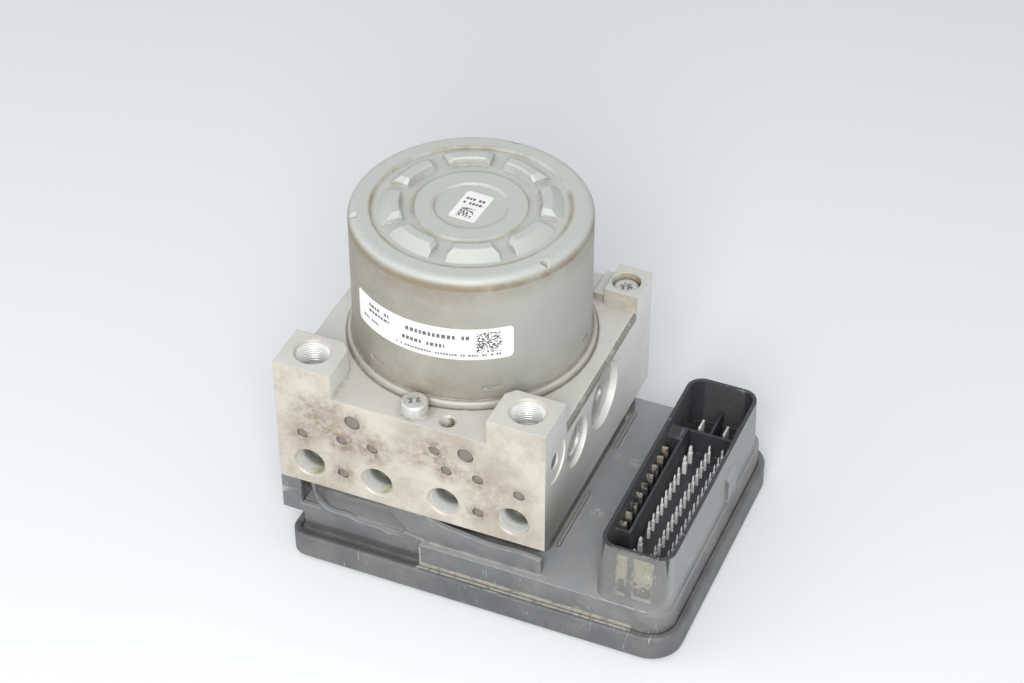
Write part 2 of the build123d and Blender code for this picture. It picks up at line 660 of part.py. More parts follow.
def rim_notch(angle):
    """A cutter for one V-shaped nick across the can's top edge."""
    nick = Pos(CAN_RADIUS, 0, CAN_TOP) * Rot(45, 0, 0) * Box(NOTCH_LENGTH, NOTCH_WIDTH, NOTCH_WIDTH)
    return Pos(MOTOR_X, MOTOR_Y, 0) * Rot(0, 0, angle) * nick


def motor_can():
    """The drawn steel can with its flange, top steps, pads, rim notches and staked dents."""
    can = Pos(MOTOR_X, MOTOR_Y, 0) * revolve(Plane.XZ * can_outline(), Axis.Z)
    can += tube(MOTOR_X, MOTOR_Y, BUSHING_RADIUS + BUSHING_COLLAR, BUSHING_RADIUS,
                CAN_CEILING - BUSHING_LENGTH, CAN_CEILING + CAN_WALL / 2)
    for k in range(PAD_COUNT):
        can += can_pad(PAD_PHASE + k * 360 / PAD_COUNT)
    for k in range(NOTCH_COUNT):
        can -= rim_notch(NOTCH_PHASE + k * 360 / NOTCH_COUNT)
    for k in range(STAKE_COUNT):
        dent = Pos(CAN_RADIUS, 0, STAKE_HEIGHT) * Box(2 * STAKE_DEPTH, STAKE_LENGTH, STAKE_WIDTH)
        can -= Pos(MOTOR_X, MOTOR_Y, 0) * Rot(0, 0, STAKE_PHASE + k * 360 / STAKE_COUNT) * dent
    x, y, seat = SCREWS[0]
    can -= upright(x, y, SCREW_HEAD_RADIUS + FIT_CLEARANCE, seat - PAST, seat + SCREW_HEAD_HEIGHT + PAST)
    return can


def magnet(index):
    """One arc magnet against the can's wall."""
    ring = tube(0, 0, CAN_INNER_RADIUS, CAN_INNER_RADIUS - MAGNET_THICKNESS, MAGNET_BOTTOM, MAGNET_TOP)
    wedge = extrude(wedge_face(CAN_INNER_RADIUS + PAST, MAGNET_ANGLE), MAGNET_TOP - MAGNET_BOTTOM)
    arc = ring & (Pos(0, 0, MAGNET_BOTTOM) * wedge)
    return Pos(MOTOR_X, MOTOR_Y, 0) * Rot(0, 0, 45 + index * 360 / MAGNET_COUNT) * arc


def upper_bushing():
    """The sintered bush in the can's collar."""
    bush = tube(MOTOR_X, MOTOR_Y, BUSHING_RADIUS, SHAFT_RADIUS + RUNNING_CLEARANCE,
                CAN_CEILING - BUSHING_LENGTH, CAN_CEILING)
    return bush


def shaft_bearing():
    """The sealed ball bearing at the shaft's lower end, with its side grooves."""
    top = SHELF_HEIGHT
    ring = tube(MOTOR_X, MOTOR_Y, BEARING_RADIUS, SHAFT_RADIUS + RUNNING_CLEARANCE, BEARING_BOTTOM, top)
    outer = BEARING_RADIUS - BEARING_RING
    inner = SHAFT_RADIUS + BEARING_RING
    ring -= tube(MOTOR_X, MOTOR_Y, outer, inner, top - BEARING_GROOVE, top + PAST)
    ring -= tube(MOTOR_X, MOTOR_Y, outer, inner, BEARING_BOTTOM - PAST, BEARING_BOTTOM + BEARING_GROOVE)
    return ring


def motor_shaft():
    """The shaft with its eccentric, which points to the back at rest."""
    shaft = upright(MOTOR_X, MOTOR_Y, SHAFT_RADIUS, SHAFT_BOTTOM, SHAFT_TOP)
    shaft = chamfer(shaft.edges().filter_by(GeomType.CIRCLE), SHAFT_EDGE)
    low = PUMP_HEIGHT - ECCENTRIC_LENGTH / 2
    return shaft + upright(MOTOR_X, MOTOR_Y + ECCENTRICITY, ECCENTRIC_RADIUS, low, low + ECCENTRIC_LENGTH)


def eccentric_ring():
    """The needle bearing's outer ring, which pushes the pistons."""
    half = ECCENTRIC_LENGTH / 2 - RING_SIDE_CLEARANCE
    return tube(MOTOR_X, MOTOR_Y + ECCENTRICITY, RING_RADIUS, ECCENTRIC_RADIUS + RUNNING_CLEARANCE,
                PUMP_HEIGHT - half, PUMP_HEIGHT + half)


def armature_core():
    """The slotted lamination stack."""
    core = tube(0, 0, CORE_RADIUS, SHAFT_RADIUS, CORE_BOTTOM, CORE_TOP)
    for k in range(SLOT_COUNT):
        slot = span(SLOT_ROOT, CORE_RADIUS + PAST, -SLOT_WIDTH / 2, SLOT_WIDTH / 2,
                    CORE_BOTTOM - PAST, CORE_TOP + PAST)
        core -= Rot(0, 0, k * 360 / SLOT_COUNT) * slot
    return Pos(MOTOR_X, MOTOR_Y, 0) * core


def armature_winding():
    """The copper: two end rings and a bar in each slot."""
    outer = CORE_RADIUS - WINDING_INSET
    low = CORE_BOTTOM - WINDING_OVERHANG
    high = CORE_TOP + WINDING_OVERHANG
    wire = tube(0, 0, outer, WINDING_INNER_RADIUS, low, CORE_BOTTOM)
    wire += tube(0, 0, outer, WINDING_INNER_RADIUS, CORE_TOP, high)
    rims = wire.edges().filter_by(GeomType.CIRCLE).group_by(SortBy.RADIUS)[-1].sort_by(Axis.Z)
    wire = fillet([rims[0], rims[-1]], WINDING_ROUNDING)
    half = SLOT_WIDTH / 2 - WIRE_CLEARANCE
    for k in range(SLOT_COUNT):
        bar = span(SLOT_ROOT + WIRE_CLEARANCE, outer - PAST, -half, half, CORE_BOTTOM - PAST, CORE_TOP + PAST)
        wire += Rot(0, 0, k * 360 / SLOT_COUNT) * bar
    return Pos(MOTOR_X, MOTOR_Y, 0) * wire


def commutator():
    """The copper commutator with a slit between its bars."""
    top = CORE_BOTTOM - WINDING_OVERHANG
    drum = tube(0, 0, COMMUTATOR_RADIUS, SHAFT_RADIUS, COMMUTATOR_BOTTOM, top)
    for k in range(COMMUTATOR_BARS):
        slit = span(COMMUTATOR_RADIUS - COMMUTATOR_SLIT, COMMUTATOR_RADIUS + PAST,
                    -COMMUTATOR_SLIT / 2, COMMUTATOR_SLIT / 2, COMMUTATOR_BOTTOM - PAST, top + PAST)
        drum -= Rot(0, 0, (k + 0.5) * 360 / COMMUTATOR_BARS) * slit
    return Pos(MOTOR_X, MOTOR_Y, 0) * drum


def brush_start():
    """Distance from the motor's axis to a brush's inner end."""
    return COMMUTATOR_RADIUS + BRUSH_FIT


def brush(side):
    """One carbon brush."""
    start = brush_start()
    half = BRUSH_WIDTH / 2
    block = span(start, start + BRUSH_LENGTH, -half, half, BRUSH_BOTTOM, BRUSH_BOTTOM + BRUSH_HEIGHT)
    return Pos(MOTOR_X, MOTOR_Y, 0) * Rot(0, 0, 0 if side > 0 else 180) * block


def brush_holder():
    """The plastic plate at the foot of the motor, with a box for each brush."""
    foot = SHELF_HEIGHT + HOLDER_FIT
    top = foot + HOLDER_THICKNESS
    clear = COMMUTATOR_RADIUS + ROTOR_CLEARANCE
    holder = tube(0, 0, CAN_INNER_RADIUS - HOLDER_FIT, clear, foot, top)
    half = BRUSH_WIDTH / 2 + BRUSH_FIT
    wall = BRUSH_BOX_WALL
    start = clear + PAST
    end = brush_start() + BRUSH_LENGTH
    ceiling = BRUSH_BOTTOM + BRUSH_HEIGHT
    for angle in (0, 180):
        box = span(start, end + wall * 2, -half - wall, half + wall, top - PAST, ceiling + wall)
        box -= span(start - PAST, end + BRUSH_FIT, -half, half, BRUSH_BOTTOM - BRUSH_FIT, ceiling + BRUSH_FIT)
        holder += Rot(0, 0, angle) * box
    holder = Pos(MOTOR_X, MOTOR_Y, 0) * holder
    for x in contact_places():
        socket = CONTACT_RADIUS + CONTACT_SOCKET_WALL
        holder += upright(x, CONTACT_Y, socket, top - PAST, top + CONTACT_SOCKET_HEIGHT)
        holder -= upright(x, CONTACT_Y, CONTACT_RADIUS, foot - PAST, top + CONTACT_GRIP)
    return holder


def contact_places():
    """The x of the two motor contacts."""
    return (MOTOR_X - CONTACT_SPREAD / 2, MOTOR_X + CONTACT_SPREAD / 2)


def motor_contact(side):
    """A pin from the brush holder down to the circuit board."""
    x = contact_places()[0 if side < 0 else 1]
    top = SHELF_HEIGHT + HOLDER_FIT + HOLDER_THICKNESS + CONTACT_GRIP
    return upright(x, CONTACT_Y, CONTACT_RADIUS, BOARD_TOP, top)


def coil_spring(mean_radius, wire_radius, length, turns):
    """A compression spring from z = 0 up to length."""
    rise = length - 2 * wire_radius
    path = Pos(0, 0, wire_radius) * Helix(rise / turns, rise, mean_radius)
    section = Plane(origin=path @ 0, z_dir=path % 0) * Circle(wire_radius)
    return sweep(section, path=path, is_frenet=True)


def sideways(shape, side, y, z):
    """Lays an upright shape along X, pointing away from the motor's axis, from that axis."""
    turn = Rot(0, 90, 0) if side > 0 else Rot(0, -90, 0)
    return Pos(MOTOR_X, y, z) * turn * shape


def pump_sleeve(side):
    """The pump's cylinder, with room for the spring behind the piston."""
    sleeve = tube(0, 0, SLEEVE_RADIUS, PISTON_RADIUS + PISTON_CLEARANCE, SLEEVE_START, SLEEVE_END)
    sleeve -= upright(0, 0, PUMP_SPRING_ROOM, PISTON_END, SLEEVE_END + PAST)
    return sideways(sleeve, side, MOTOR_Y, PUMP_HEIGHT)


def pump_piston(side):
    """The pump's piston, at the inner end of its stroke."""
    piston = upright(0, 0, PISTON_RADIUS, PISTON_TIP, PISTON_END)
    piston = chamfer(piston.edges().filter_by(GeomType.CIRCLE), PISTON_EDGE)
    return sideways(piston, side, MOTOR_Y, PUMP_HEIGHT)


def pump_spring(side):
    """The pump piston's return spring."""
    spring = coil_spring(PUMP_SPRING_RADIUS, PUMP_WIRE_RADIUS, SLEEVE_END - PISTON_END, PUMP_SPRING_TURNS)
    return sideways(Pos(0, 0, PISTON_END) * spring, side, MOTOR_Y, PUMP_HEIGHT)


def side_cap(radius, dish, start, thickness):
    """A round cap with a bevelled rim and a dish in its outer face."""
    top = start + thickness
    return turned([
        (0, start), (radius, start), (radius, top - CAP_EDGE), (radius - CAP_EDGE, top),
        (dish, top), (dish - CAP_DISH_SLOPE, top - CAP_DISH_DEPTH), (0, top - CAP_DISH_DEPTH),
    ])


def pump_cap(side):
    """The cap that closes the pump's bore."""
    cap = side_cap(PUMP_MOUTH_RADIUS, PUMP_CAP_DISH, PUMP_SHOULDER, PUMP_CAP_THICKNESS)
    cap += upright(0, 0, SLEEVE_RADIUS - FIT_CLEARANCE, SLEEVE_END, PUMP_SHOULDER + PAST)
    return sideways(cap, side, MOTOR_Y, PUMP_HEIGHT)


def accumulator_levels():
    """Distances from the middle plane: piston inner end, piston outer end, cap inner face."""
    inner = BLOCK_WIDTH / 2 - ACCUMULATOR_DEPTH + ACCUMULATOR_END_CLEARANCE
    cap = BLOCK_WIDTH / 2 - ACCUMULATOR_RECESS - ACCUMULATOR_CAP
    return inner, inner + ACCUMULATOR_PISTON, cap


def accumulator_piston(side):
    """The accumulator's piston with the groove for its seal."""
    inner, outer, _ = accumulator_levels()
    radius = ACCUMULATOR_RADIUS - ACCUMULATOR_CLEARANCE
    piston = upright(0, 0, radius, inner, outer)
    middle = (inner + outer) / 2
    groove = tube(0, 0, radius + PAST, radius - 2 * SEAL_RADIUS, middle - SEAL_RADIUS, middle + SEAL_RADIUS)
    piston -= groove
    cup = ACCUMULATOR_SPRING_RADIUS - SPRING_CUP_WALL
    piston -= upright(0, 0, cup, outer - SPRING_CUP_DEPTH, outer + PAST)
    return sideways(piston, side, ACCUMULATOR_Y, ACCUMULATOR_HEIGHT)


def accumulator_seal(side):
    """The rubber ring in the piston's groove."""
    inner, outer, _ = accumulator_levels()
    major = ACCUMULATOR_RADIUS - SEAL_SINK - ACCUMULATOR_CLEARANCE - SEAL_RADIUS
    ring = Pos(0, 0, (inner + outer) / 2) * Torus(major, SEAL_RADIUS - SEAL_SINK)
    return sideways(ring, side, ACCUMULATOR_Y, ACCUMULATOR_HEIGHT)


def accumulator_spring(side):
    """The spring between the accumulator's piston and its cap."""
    _, outer, cap = accumulator_levels()
    length = cap - outer
    spring = coil_spring(ACCUMULATOR_SPRING_RADIUS, ACCUMULATOR_WIRE_RADIUS, length, ACCUMULATOR_SPRING_TURNS)
    return sideways(Pos(0, 0, outer) * spring, side, ACCUMULATOR_Y, ACCUMULATOR_HEIGHT)


def accumulator_cap(side):
    """The cap that closes the accumulator's bore."""
    _, _, start = accumulator_levels()
    cap = side_cap(ACCUMULATOR_RADIUS, ACCUMULATOR_CAP_DISH, start, ACCUMULATOR_CAP)
    return sideways(cap, side, ACCUMULATOR_Y, ACCUMULATOR_HEIGHT)


def valve_places():
    """Name ending and plan position of every solenoid valve."""
    places = {}
    for row, y in (("inlet", INLET_ROW), ("outlet", OUTLET_ROW)):
        for k in range(VALVE_COLUMN_COUNT):
            places[f"{row}_{k + 1}"] = (VALVE_FROM_SIDE + k * VALVE_PITCH, y)
    return places


def valve(x, y):
    """One sealed solenoid cartridge: tip and body in the block, collar and dome below it."""
    low = -VALVE_COLLAR - DOME_LENGTH
    top = VALVE_DEPTH + VALVE_TIP
    body = turned([
        (0, top), (DOME_RADIUS - VALVE_TIP_EDGE, top), (DOME_RADIUS, top - VALVE_TIP_EDGE),
        (DOME_RADIUS, VALVE_DEPTH), (VALVE_RADIUS, VALVE_DEPTH), (VALVE_RADIUS, 0),
        (VALVE_COLLAR_RADIUS, 0), (VALVE_COLLAR_RADIUS, -VALVE_COLLAR), (DOME_RADIUS, -VALVE_COLLAR),
        (DOME_RADIUS, low + DOME_EDGE), (DOME_RADIUS - DOME_EDGE, low), (0, low),
    ])
    return Pos(x, y, 0) * body


def coil(x, y):
    """One solenoid coil: bobbin flanges, winding and two terminals."""
    low = COIL_TOP - COIL_HEIGHT
    bore = DOME_RADIUS + COIL_FIT
    waist = COIL_RADIUS - COIL_WAIST
    body = turned([
        (bore, low), (COIL_RADIUS, low), (COIL_RADIUS, low + COIL_FLANGE), (waist, low + COIL_FLANGE),
        (waist, COIL_TOP - COIL_FLANGE), (COIL_RADIUS, COIL_TOP - COIL_FLANGE),
        (COIL_RADIUS, COIL_TOP), (bore, COIL_TOP),
    ])
    half = TERMINAL_THICKNESS / 2
    reach = COIL_RADIUS - TERMINAL_INSET
    for offset in (-TERMINAL_SPREAD / 2, TERMINAL_SPREAD / 2):
        body += span(offset - half, offset + half, reach - half, reach + half, BOARD_TOP, low + PAST / 2)
    return Pos(x, y, 0) * body


def screw_boss(x, y, top):
    """A boss in the control unit that takes one of its screws."""
    return upright(x, y, SCREW_RADIUS + SCREW_BOSS_WALL, COIL_FLOOR_TOP - PAST, top)


def front_cut(points, past):
    """A cutter through the front strip from (x, z) points, whose points at z = 0 go past the top."""
    raised = [(x, z if z < 0 else past) for x, z in points]
    face = Plane.XZ * make_face(Polyline(*raised, close=True).edges())
    return Pos(0, -PAST, 0) * extrude(face, -STRIP_THICKNESS - PAST)


def front_recess():
    """A cutter for the rounded recess in the front strip."""
    left, right = STRIP_RECESS_MOUTH
    first, last = STRIP_RECESS[0], STRIP_RECESS[-1]
    mouth = Polyline(last, (right, PAST), (left, PAST), first)
    face = Plane.XZ * make_face(Spline(*STRIP_RECESS).edges() + mouth.edges())
    return Pos(0, -PAST, 0) * extrude(face, -STRIP_THICKNESS - PAST)


def front_strip():
    """The strip under the block's front edge, whose top dips at the right."""
    right = BLOCK_WIDTH - COLLAR_INSET / 2
    lip = Spline(*[(right + x, z) for x, z in STRIP_LIP])
    rest = Polyline((right, STRIP_LIP[-1][1]), (right, STRIP_BOTTOM), (0, STRIP_BOTTOM), (0, 0),
                    (right + STRIP_LIP[0][0], 0))
    face = Plane.XZ * make_face(lip.edges() + rest.edges())
    return extrude(face, -STRIP_THICKNESS)


def collar():
    """The upstand under the block, with the strips on its front, left and back."""
    inset = COLLAR_INSET
    ring = frame_ring(inset, BLOCK_WIDTH - inset, COLLAR_FRONT, COLLAR_BACK, COLLAR_CORNER, COLLAR_CORNER,
                      COLLAR_WALL, COIL_FLOOR_TOP - PAST, -BLOCK_SEAL)
    back_y = BLOCK_DEPTH - COLLAR_CORNER
    left = span(0, STRIP_THICKNESS, 0, back_y, STRIP_BOTTOM, 0)
    back = span(0, BLOCK_WIDTH - COLLAR_CORNER, back_y - STRIP_THICKNESS, back_y, STRIP_BOTTOM, BACK_STRIP_TOP)
    shelf = span(0, BLOCK_WIDTH - inset, 0, back_y, STRIP_BOTTOM, STRIP_BOTTOM + STRIP_SHELF)
    shelf -= span(inset + COLLAR_WALL, BLOCK_WIDTH - inset - COLLAR_WALL, COLLAR_FRONT + COLLAR_WALL,
                  COLLAR_BACK - COLLAR_WALL, STRIP_BOTTOM - PAST, STRIP_BOTTOM + STRIP_SHELF + PAST)
    return ring + front_strip() + left + back + shelf


def deck_beads():
    """Low beads on the deck beside the block's right edge."""
    left = BLOCK_WIDTH - DECK_BEAD_INSET
    top = DECK_TOP + DECK_BEAD_HEIGHT
    return [span(left, left + DECK_BEAD_WIDTH, start, end, DECK_TOP - PAST, top) for start, end in DECK_BEADS]


def skirt_outline(inset):
    """Plan of the housing's wall, set back at the left of its front, and moved in by inset."""
    whole = plate_outline(SKIRT_LEFT + inset, SKIRT_RIGHT - inset, -SKIRT_FRONT + inset, SKIRT_BACK - inset,
                          COVER_CORNER_LEFT - inset, SKIRT_CORNER - inset)
    depth = SKIRT_FRONT + SKIRT_SETBACK + PAST
    middle = (SKIRT_STEP_X / 2 + inset, SKIRT_SETBACK + inset - depth / 2)
    return whole - Pos(*middle) * Rectangle(SKIRT_STEP_X, depth)


def shroud_form(inset):
    """The shroud's drafted outside, moved in by inset."""
    draft = SHROUD_DRAFT - inset
    base = plate_outline(SHROUD_LEFT - draft, SHROUD_LEFT + SHROUD_WIDTH + draft,
                         SHROUD_FRONT - SHROUD_FRONT_DRAFT + inset, SHROUD_FRONT + SHROUD_LENGTH + draft,
                         SHROUD_CORNER + draft, SHROUD_CORNER + draft)
    rim = plate_outline(SHROUD_LEFT + inset, SHROUD_LEFT + SHROUD_WIDTH - inset, SHROUD_FRONT + inset,
                        SHROUD_FRONT + SHROUD_LENGTH - inset, SHROUD_CORNER - inset, SHROUD_CORNER - inset)
    low = DECK_TOP - DECK_THICKNESS
    return loft([Pos(0, 0, low) * base, Pos(0, 0, SHROUD_TOP) * rim], ruled=True)


def shroud_core():
    """What the recesses in the shroud's front leave standing."""
    return shroud_form(PANEL_DEPTH)


def shroud():
    """The connector's shroud with its cavity, channel, walls and ribs."""
    body = shroud_form(0)
    corner = SHROUD_CORNER - SHROUD_WALL
    body -= plate(CAVITY_LEFT, CAVITY_RIGHT, CAVITY_FRONT, CAVITY_BACK, corner, corner,
                  SHROUD_FLOOR, SHROUD_TOP + PAST)
    for from_left, width in PANELS:
        x = SHROUD_LEFT + from_left
        cut = span(x, x + width, SHROUD_FRONT - SHROUD_FRONT_DRAFT - PAST, SHROUD_FRONT,
                   PANEL_BOTTOM, PANEL_TOP)
        body -= cut - shroud_core()
    return body + shroud_inside()


def shroud_inside():
    """Walls and ribs on the connector's floor."""
    half = CHANNEL_WALL / 2
    low = SHROUD_FLOOR - PAST
    left = CAVITY_LEFT - half
    block_back = CHANNEL_BACK + CHANNEL_BLOCK
    rib_end = CHANNEL_WALL_X - CHANNEL_RIB_GAP
    parts = span(CHANNEL_WALL_X - half, CHANNEL_WALL_X + half, CHANNEL_FRONT, block_back, low, CHANNEL_TOP)
    parts += span(left, CHANNEL_WALL_X, CHANNEL_BACK, block_back, low, CHANNEL_TOP)
    parts += span(left, CHANNEL_WALL_X, CHANNEL_FRONT, CHANNEL_FRONT + CHANNEL_WALL, low, CHANNEL_TOP)
    gap = (CHANNEL_BACK - CHANNEL_FRONT) / (CHANNEL_RIBS + 1)
    rib_top = CHANNEL_TOP - CHANNEL_RIB_DROP
    for k in range(CHANNEL_RIBS):
        y = CHANNEL_FRONT + gap * (k + 1)
        parts += span(left, rib_end, y - CHANNEL_RIB / 2, y + CHANNEL_RIB / 2, low, rib_top)
    parts += span(left, CAVITY_RIGHT + half, CROSS_WALL_Y, CROSS_WALL_Y + CHANNEL_WALL, low, CROSS_WALL_TOP)
    parts += span(DIVIDER_X - half, DIVIDER_X + half, CROSS_WALL_Y, CROSS_WALL_Y + DIVIDER_LENGTH,
                  low, CROSS_WALL_TOP - DIVIDER_DROP)
    return parts


def latch():
    """The hooked lug on the shroud's right side, with the slot under it."""
    face = SHROUD_LEFT + SHROUD_WIDTH
    lug = span(face - PAST, face + LATCH_REACH, LATCH_Y - LATCH_WIDTH / 2, LATCH_Y + LATCH_WIDTH / 2,
               LATCH_LIFT - LATCH_HEIGHT, LATCH_LIFT)
    top = lug.edges().filter_by(Axis.Y).group_by(Axis.Z)[-1].sort_by(Axis.X)[-1]
    return chamfer(top, LATCH_BEVEL)


def terminal_slots():
    """Holes in the housing for every pin, blade, coil terminal and motor contact."""
    cuts = []
    for x, y, size in pin_places():
        half = size / 2 + PIN_SHOULDER
        cuts.append(span(x - half, x + half, y - half, y + half, BOARD_TOP, SHROUD_FLOOR + PAST))
    for x in BLADE_X:
        cuts.append(blade(x))
    reach = COIL_RADIUS - TERMINAL_INSET
    half = TERMINAL_SPREAD / 2 + TERMINAL_THICKNESS
    for x, y in valve_places().values():
        cuts.append(span(x - half, x + half, y + reach - TERMINAL_THICKNESS, y + reach + TERMINAL_THICKNESS,
                         COIL_FLOOR_TOP - COIL_FLOOR_THICKNESS - PAST, COIL_FLOOR_TOP + PAST))
    for x in contact_places():
        cuts.append(upright(x, CONTACT_Y, CONTACT_HOLE_RADIUS, BOARD_TOP, COIL_FLOOR_TOP + PAST))
    return cuts


def ecu_housing():
    """The control unit's plastic housing: flange, wall, deck, collar, shroud and bosses."""
    wall_height = DECK_TOP - FLANGE_BOTTOM
    inset = COVER_WALL + FIT_CLEARANCE
    flange = plate(COVER_LEFT + inset, COVER_RIGHT - inset, -COVER_FRONT + inset, COVER_BACK_Y - inset,
                   COVER_CORNER_LEFT - inset, COVER_CORNER_RIGHT - inset, FLANGE_BOTTOM, FLANGE_TOP)
    body = flange + Pos(0, 0, FLANGE_BOTTOM) * extrude(skirt_outline(0), wall_height)
    hollow = extrude(skirt_outline(HOUSING_WALL), wall_height - DECK_THICKNESS + PAST)
    body -= Pos(0, 0, FLANGE_BOTTOM - PAST) * hollow
    inner = COLLAR_INSET + COLLAR_WALL
    body -= span(inner, BLOCK_WIDTH - inner, COLLAR_FRONT + COLLAR_WALL, COLLAR_BACK - COLLAR_WALL,
                 DECK_TOP - DECK_THICKNESS - PAST, DECK_TOP + PAST)
    floor = COIL_FLOOR_TOP - COIL_FLOOR_THICKNESS
    body += span(COLLAR_INSET, BLOCK_WIDTH - COLLAR_INSET, COLLAR_FRONT, COLLAR_BACK, floor, COIL_FLOOR_TOP)
    body += collar()
    for x, y, _ in SCREWS:
        body += screw_boss(x, y, -BLOCK_SEAL)
    body += shroud() + latch()
    body += upright(BOSS_X, BOSS_Y, BOSS_RADIUS, FLANGE_TOP, BOSS_TOP)
    body += span(CAVITY_LEFT, CAVITY_RIGHT, CAVITY_FRONT + SHROUD_FLOOR_INSET,
                 CAVITY_BACK - SHROUD_FLOOR_INSET, SHROUD_FLOOR - SHROUD_FLOOR_THICKNESS, SHROUD_FLOOR)
    for bead in deck_beads():
        body += bead
    for x, y in standoff_places():
        body += upright(x, y, STANDOFF_RADIUS, BOARD_TOP, floor if x < BLOCK_WIDTH else DECK_TOP - PAST)
    for x, y, _ in SCREWS:
        body -= upright(x, y, SCREW_RADIUS, SCREW_BOTTOM, PAST)
    body -= front_recess()
    for points in (STRIP_GAP, STRIP_SLOT):
        body -= front_cut(points, PAST)
    for cut in terminal_slots():
        body -= cut
    return body


def standoff_places():
    """Plan positions of the posts that the circuit board rests on."""
    right = SHROUD_LEFT - STANDOFF_FROM_SHROUD
    return (
        (STANDOFF_FROM_SIDE, STANDOFF_FROM_SIDE), (STANDOFF_FROM_SIDE, STANDOFF_LEFT_BACK),
        (right, STANDOFF_FRONT), (right, STANDOFF_BACK),
    )


def ecu_cover():
    """The tray-shaped cover that the unit stands on."""
    bottom = -UNIT_HEIGHT
    outer = plate(COVER_LEFT, COVER_RIGHT, -COVER_FRONT, COVER_BACK_Y, COVER_CORNER_LEFT, COVER_CORNER_RIGHT,
                  bottom, COVER_TOP)
    outer = chamfer(outer.edges().group_by(Axis.Z)[0], COVER_BOTTOM_EDGE)
    outer = chamfer(outer.edges().group_by(Axis.Z)[-1], COVER_TOP_EDGE)
    wall = COVER_WALL
    upper = plate(COVER_LEFT + wall, COVER_RIGHT - wall, -COVER_FRONT + wall, COVER_BACK_Y - wall,
                  COVER_CORNER_LEFT - wall, COVER_CORNER_RIGHT - wall, LEDGE_TOP, COVER_TOP + PAST)
    wall += COVER_LEDGE
    lower = plate(COVER_LEFT + wall, COVER_RIGHT - wall, -COVER_FRONT + wall, COVER_BACK_Y - wall,
                  COVER_CORNER_LEFT - wall, COVER_CORNER_RIGHT - wall, bottom + COVER_FLOOR, LEDGE_TOP + PAST)
    return outer - upper - lower


def cover_seal():
    """The rubber ring between the housing's flange and the cover's ledge."""
    inset = COVER_WALL + FIT_CLEARANCE
    return frame_ring(COVER_LEFT + inset, COVER_RIGHT - inset, -COVER_FRONT + inset, COVER_BACK_Y - inset,
                      COVER_CORNER_LEFT - inset, COVER_CORNER_RIGHT - inset, COVER_LEDGE - FIT_CLEARANCE,
                      LEDGE_TOP, FLANGE_BOTTOM)


def block_seal():
    """The rubber ring between the collar and the block."""
    inset = COLLAR_INSET
    return frame_ring(inset, BLOCK_WIDTH - inset, COLLAR_FRONT, COLLAR_BACK, COLLAR_CORNER, COLLAR_CORNER,
                      COLLAR_WALL, -BLOCK_SEAL, 0)


def circuit_board():
    """The circuit board with its larger components."""
    low = BOARD_TOP - BOARD_THICKNESS
    board = plate(COVER_LEFT + BOARD_INSET, COVER_RIGHT - BOARD_INSET, -COVER_FRONT + BOARD_INSET,
                  COVER_BACK_Y - BOARD_INSET, BOARD_CORNER_LEFT, BOARD_CORNER_RIGHT, low, BOARD_TOP)
    for x, y, length, width in CHIPS:
        board += span(x - length / 2, x + length / 2, y - width / 2, y + width / 2,
                      low - CHIP_HEIGHT, low + CHIP_SINK)
    for y in CAPACITOR_Y:
        board += upright(BLOCK_WIDTH + CAPACITOR_FROM_BLOCK, y, CAPACITOR_RADIUS, BOARD_TOP - CHIP_SINK,
                         BOARD_TOP + CAPACITOR_HEIGHT)
    return board


def pin_places():
    """Plan position and size of every signal pin."""
    rows = [(PIN_ROW_B, k, PIN_SIZE) for k in range(PIN_ROW_B_COUNT)]
    rows += [(PIN_ROW_C, k + PIN_ROW_C_SHIFT, PIN_SIZE) for k in range(PIN_ROW_C_COUNT)]
    rows += [(PIN_ROW_A, k + PIN_ROW_A_SHIFT, PIN_SIZE) for k in range(PIN_ROW_A_COUNT)]
    rows += [(PIN_ROW_A, k, WIDE_PIN_SIZE) for k in WIDE_PIN_PLACES]
    return [(x, PIN_START + PIN_PITCH * k, size) for x, k, size in rows]


def square_bar(x, y, size, z0, z1):
    """An upright square bar."""
    half = size / 2
    return span(x - half, x + half, y - half, y + half, z0, z1)


def signal_pins():
    """The square pins of the connector, wider at the foot and pointed at the top."""
    pins = []
    neck = SHROUD_FLOOR + PIN_SHOULDER_RISE
    for x, y, size in pin_places():
        pin = square_bar(x, y, size + 2 * PIN_SHOULDER, BOARD_TOP, neck)
        pin += square_bar(x, y, size, neck, PIN_TOP - PIN_POINT)
        foot = Pos(x, y, PIN_TOP - PIN_POINT) * Rectangle(size, size)
        tip = Pos(x, y, PIN_TOP) * Rectangle(size * PIN_TIP_SHARE, size * PIN_TIP_SHARE)
        pins.append(pin + loft([foot, tip], ruled=True))
    return Compound(pins)


def blade(x):
    """One power blade."""
    half = BLADE_THICKNESS / 2
    front = BLADE_Y - BLADE_LENGTH / 2
    return span(x - half, x + half, front, front + BLADE_LENGTH, BOARD_TOP, BLADE_TOP)


def power_blades():
    """The two power blades, with bevelled tips."""
    return Compound([chamfer(blade(x).edges().group_by(Axis.Z)[-1], BLADE_BEVEL) for x in BLADE_X])


def control_screw(x, y, seat):
    """One screw with a six-lobed drive."""
    head = upright(x, y, SCREW_HEAD_RADIUS, seat, seat + SCREW_HEAD_HEIGHT)
    head = fillet(head.edges().group_by(Axis.Z)[-1], SCREW_HEAD_EDGE)
    top = seat + SCREW_HEAD_HEIGHT
    for angle in (0, 60, 120):
        lobe = Pos(x, y, top) * Rot(0, 0, angle) * Box(DRIVE_SPAN, DRIVE_LOBE, 2 * DRIVE_DEPTH)
        head -= lobe
    return head + upright(x, y, SCREW_RADIUS, SCREW_BOTTOM, seat)


def control_unit_screws():
    """The three screws, as one group."""
    return Compound([control_screw(*place) for place in SCREWS])


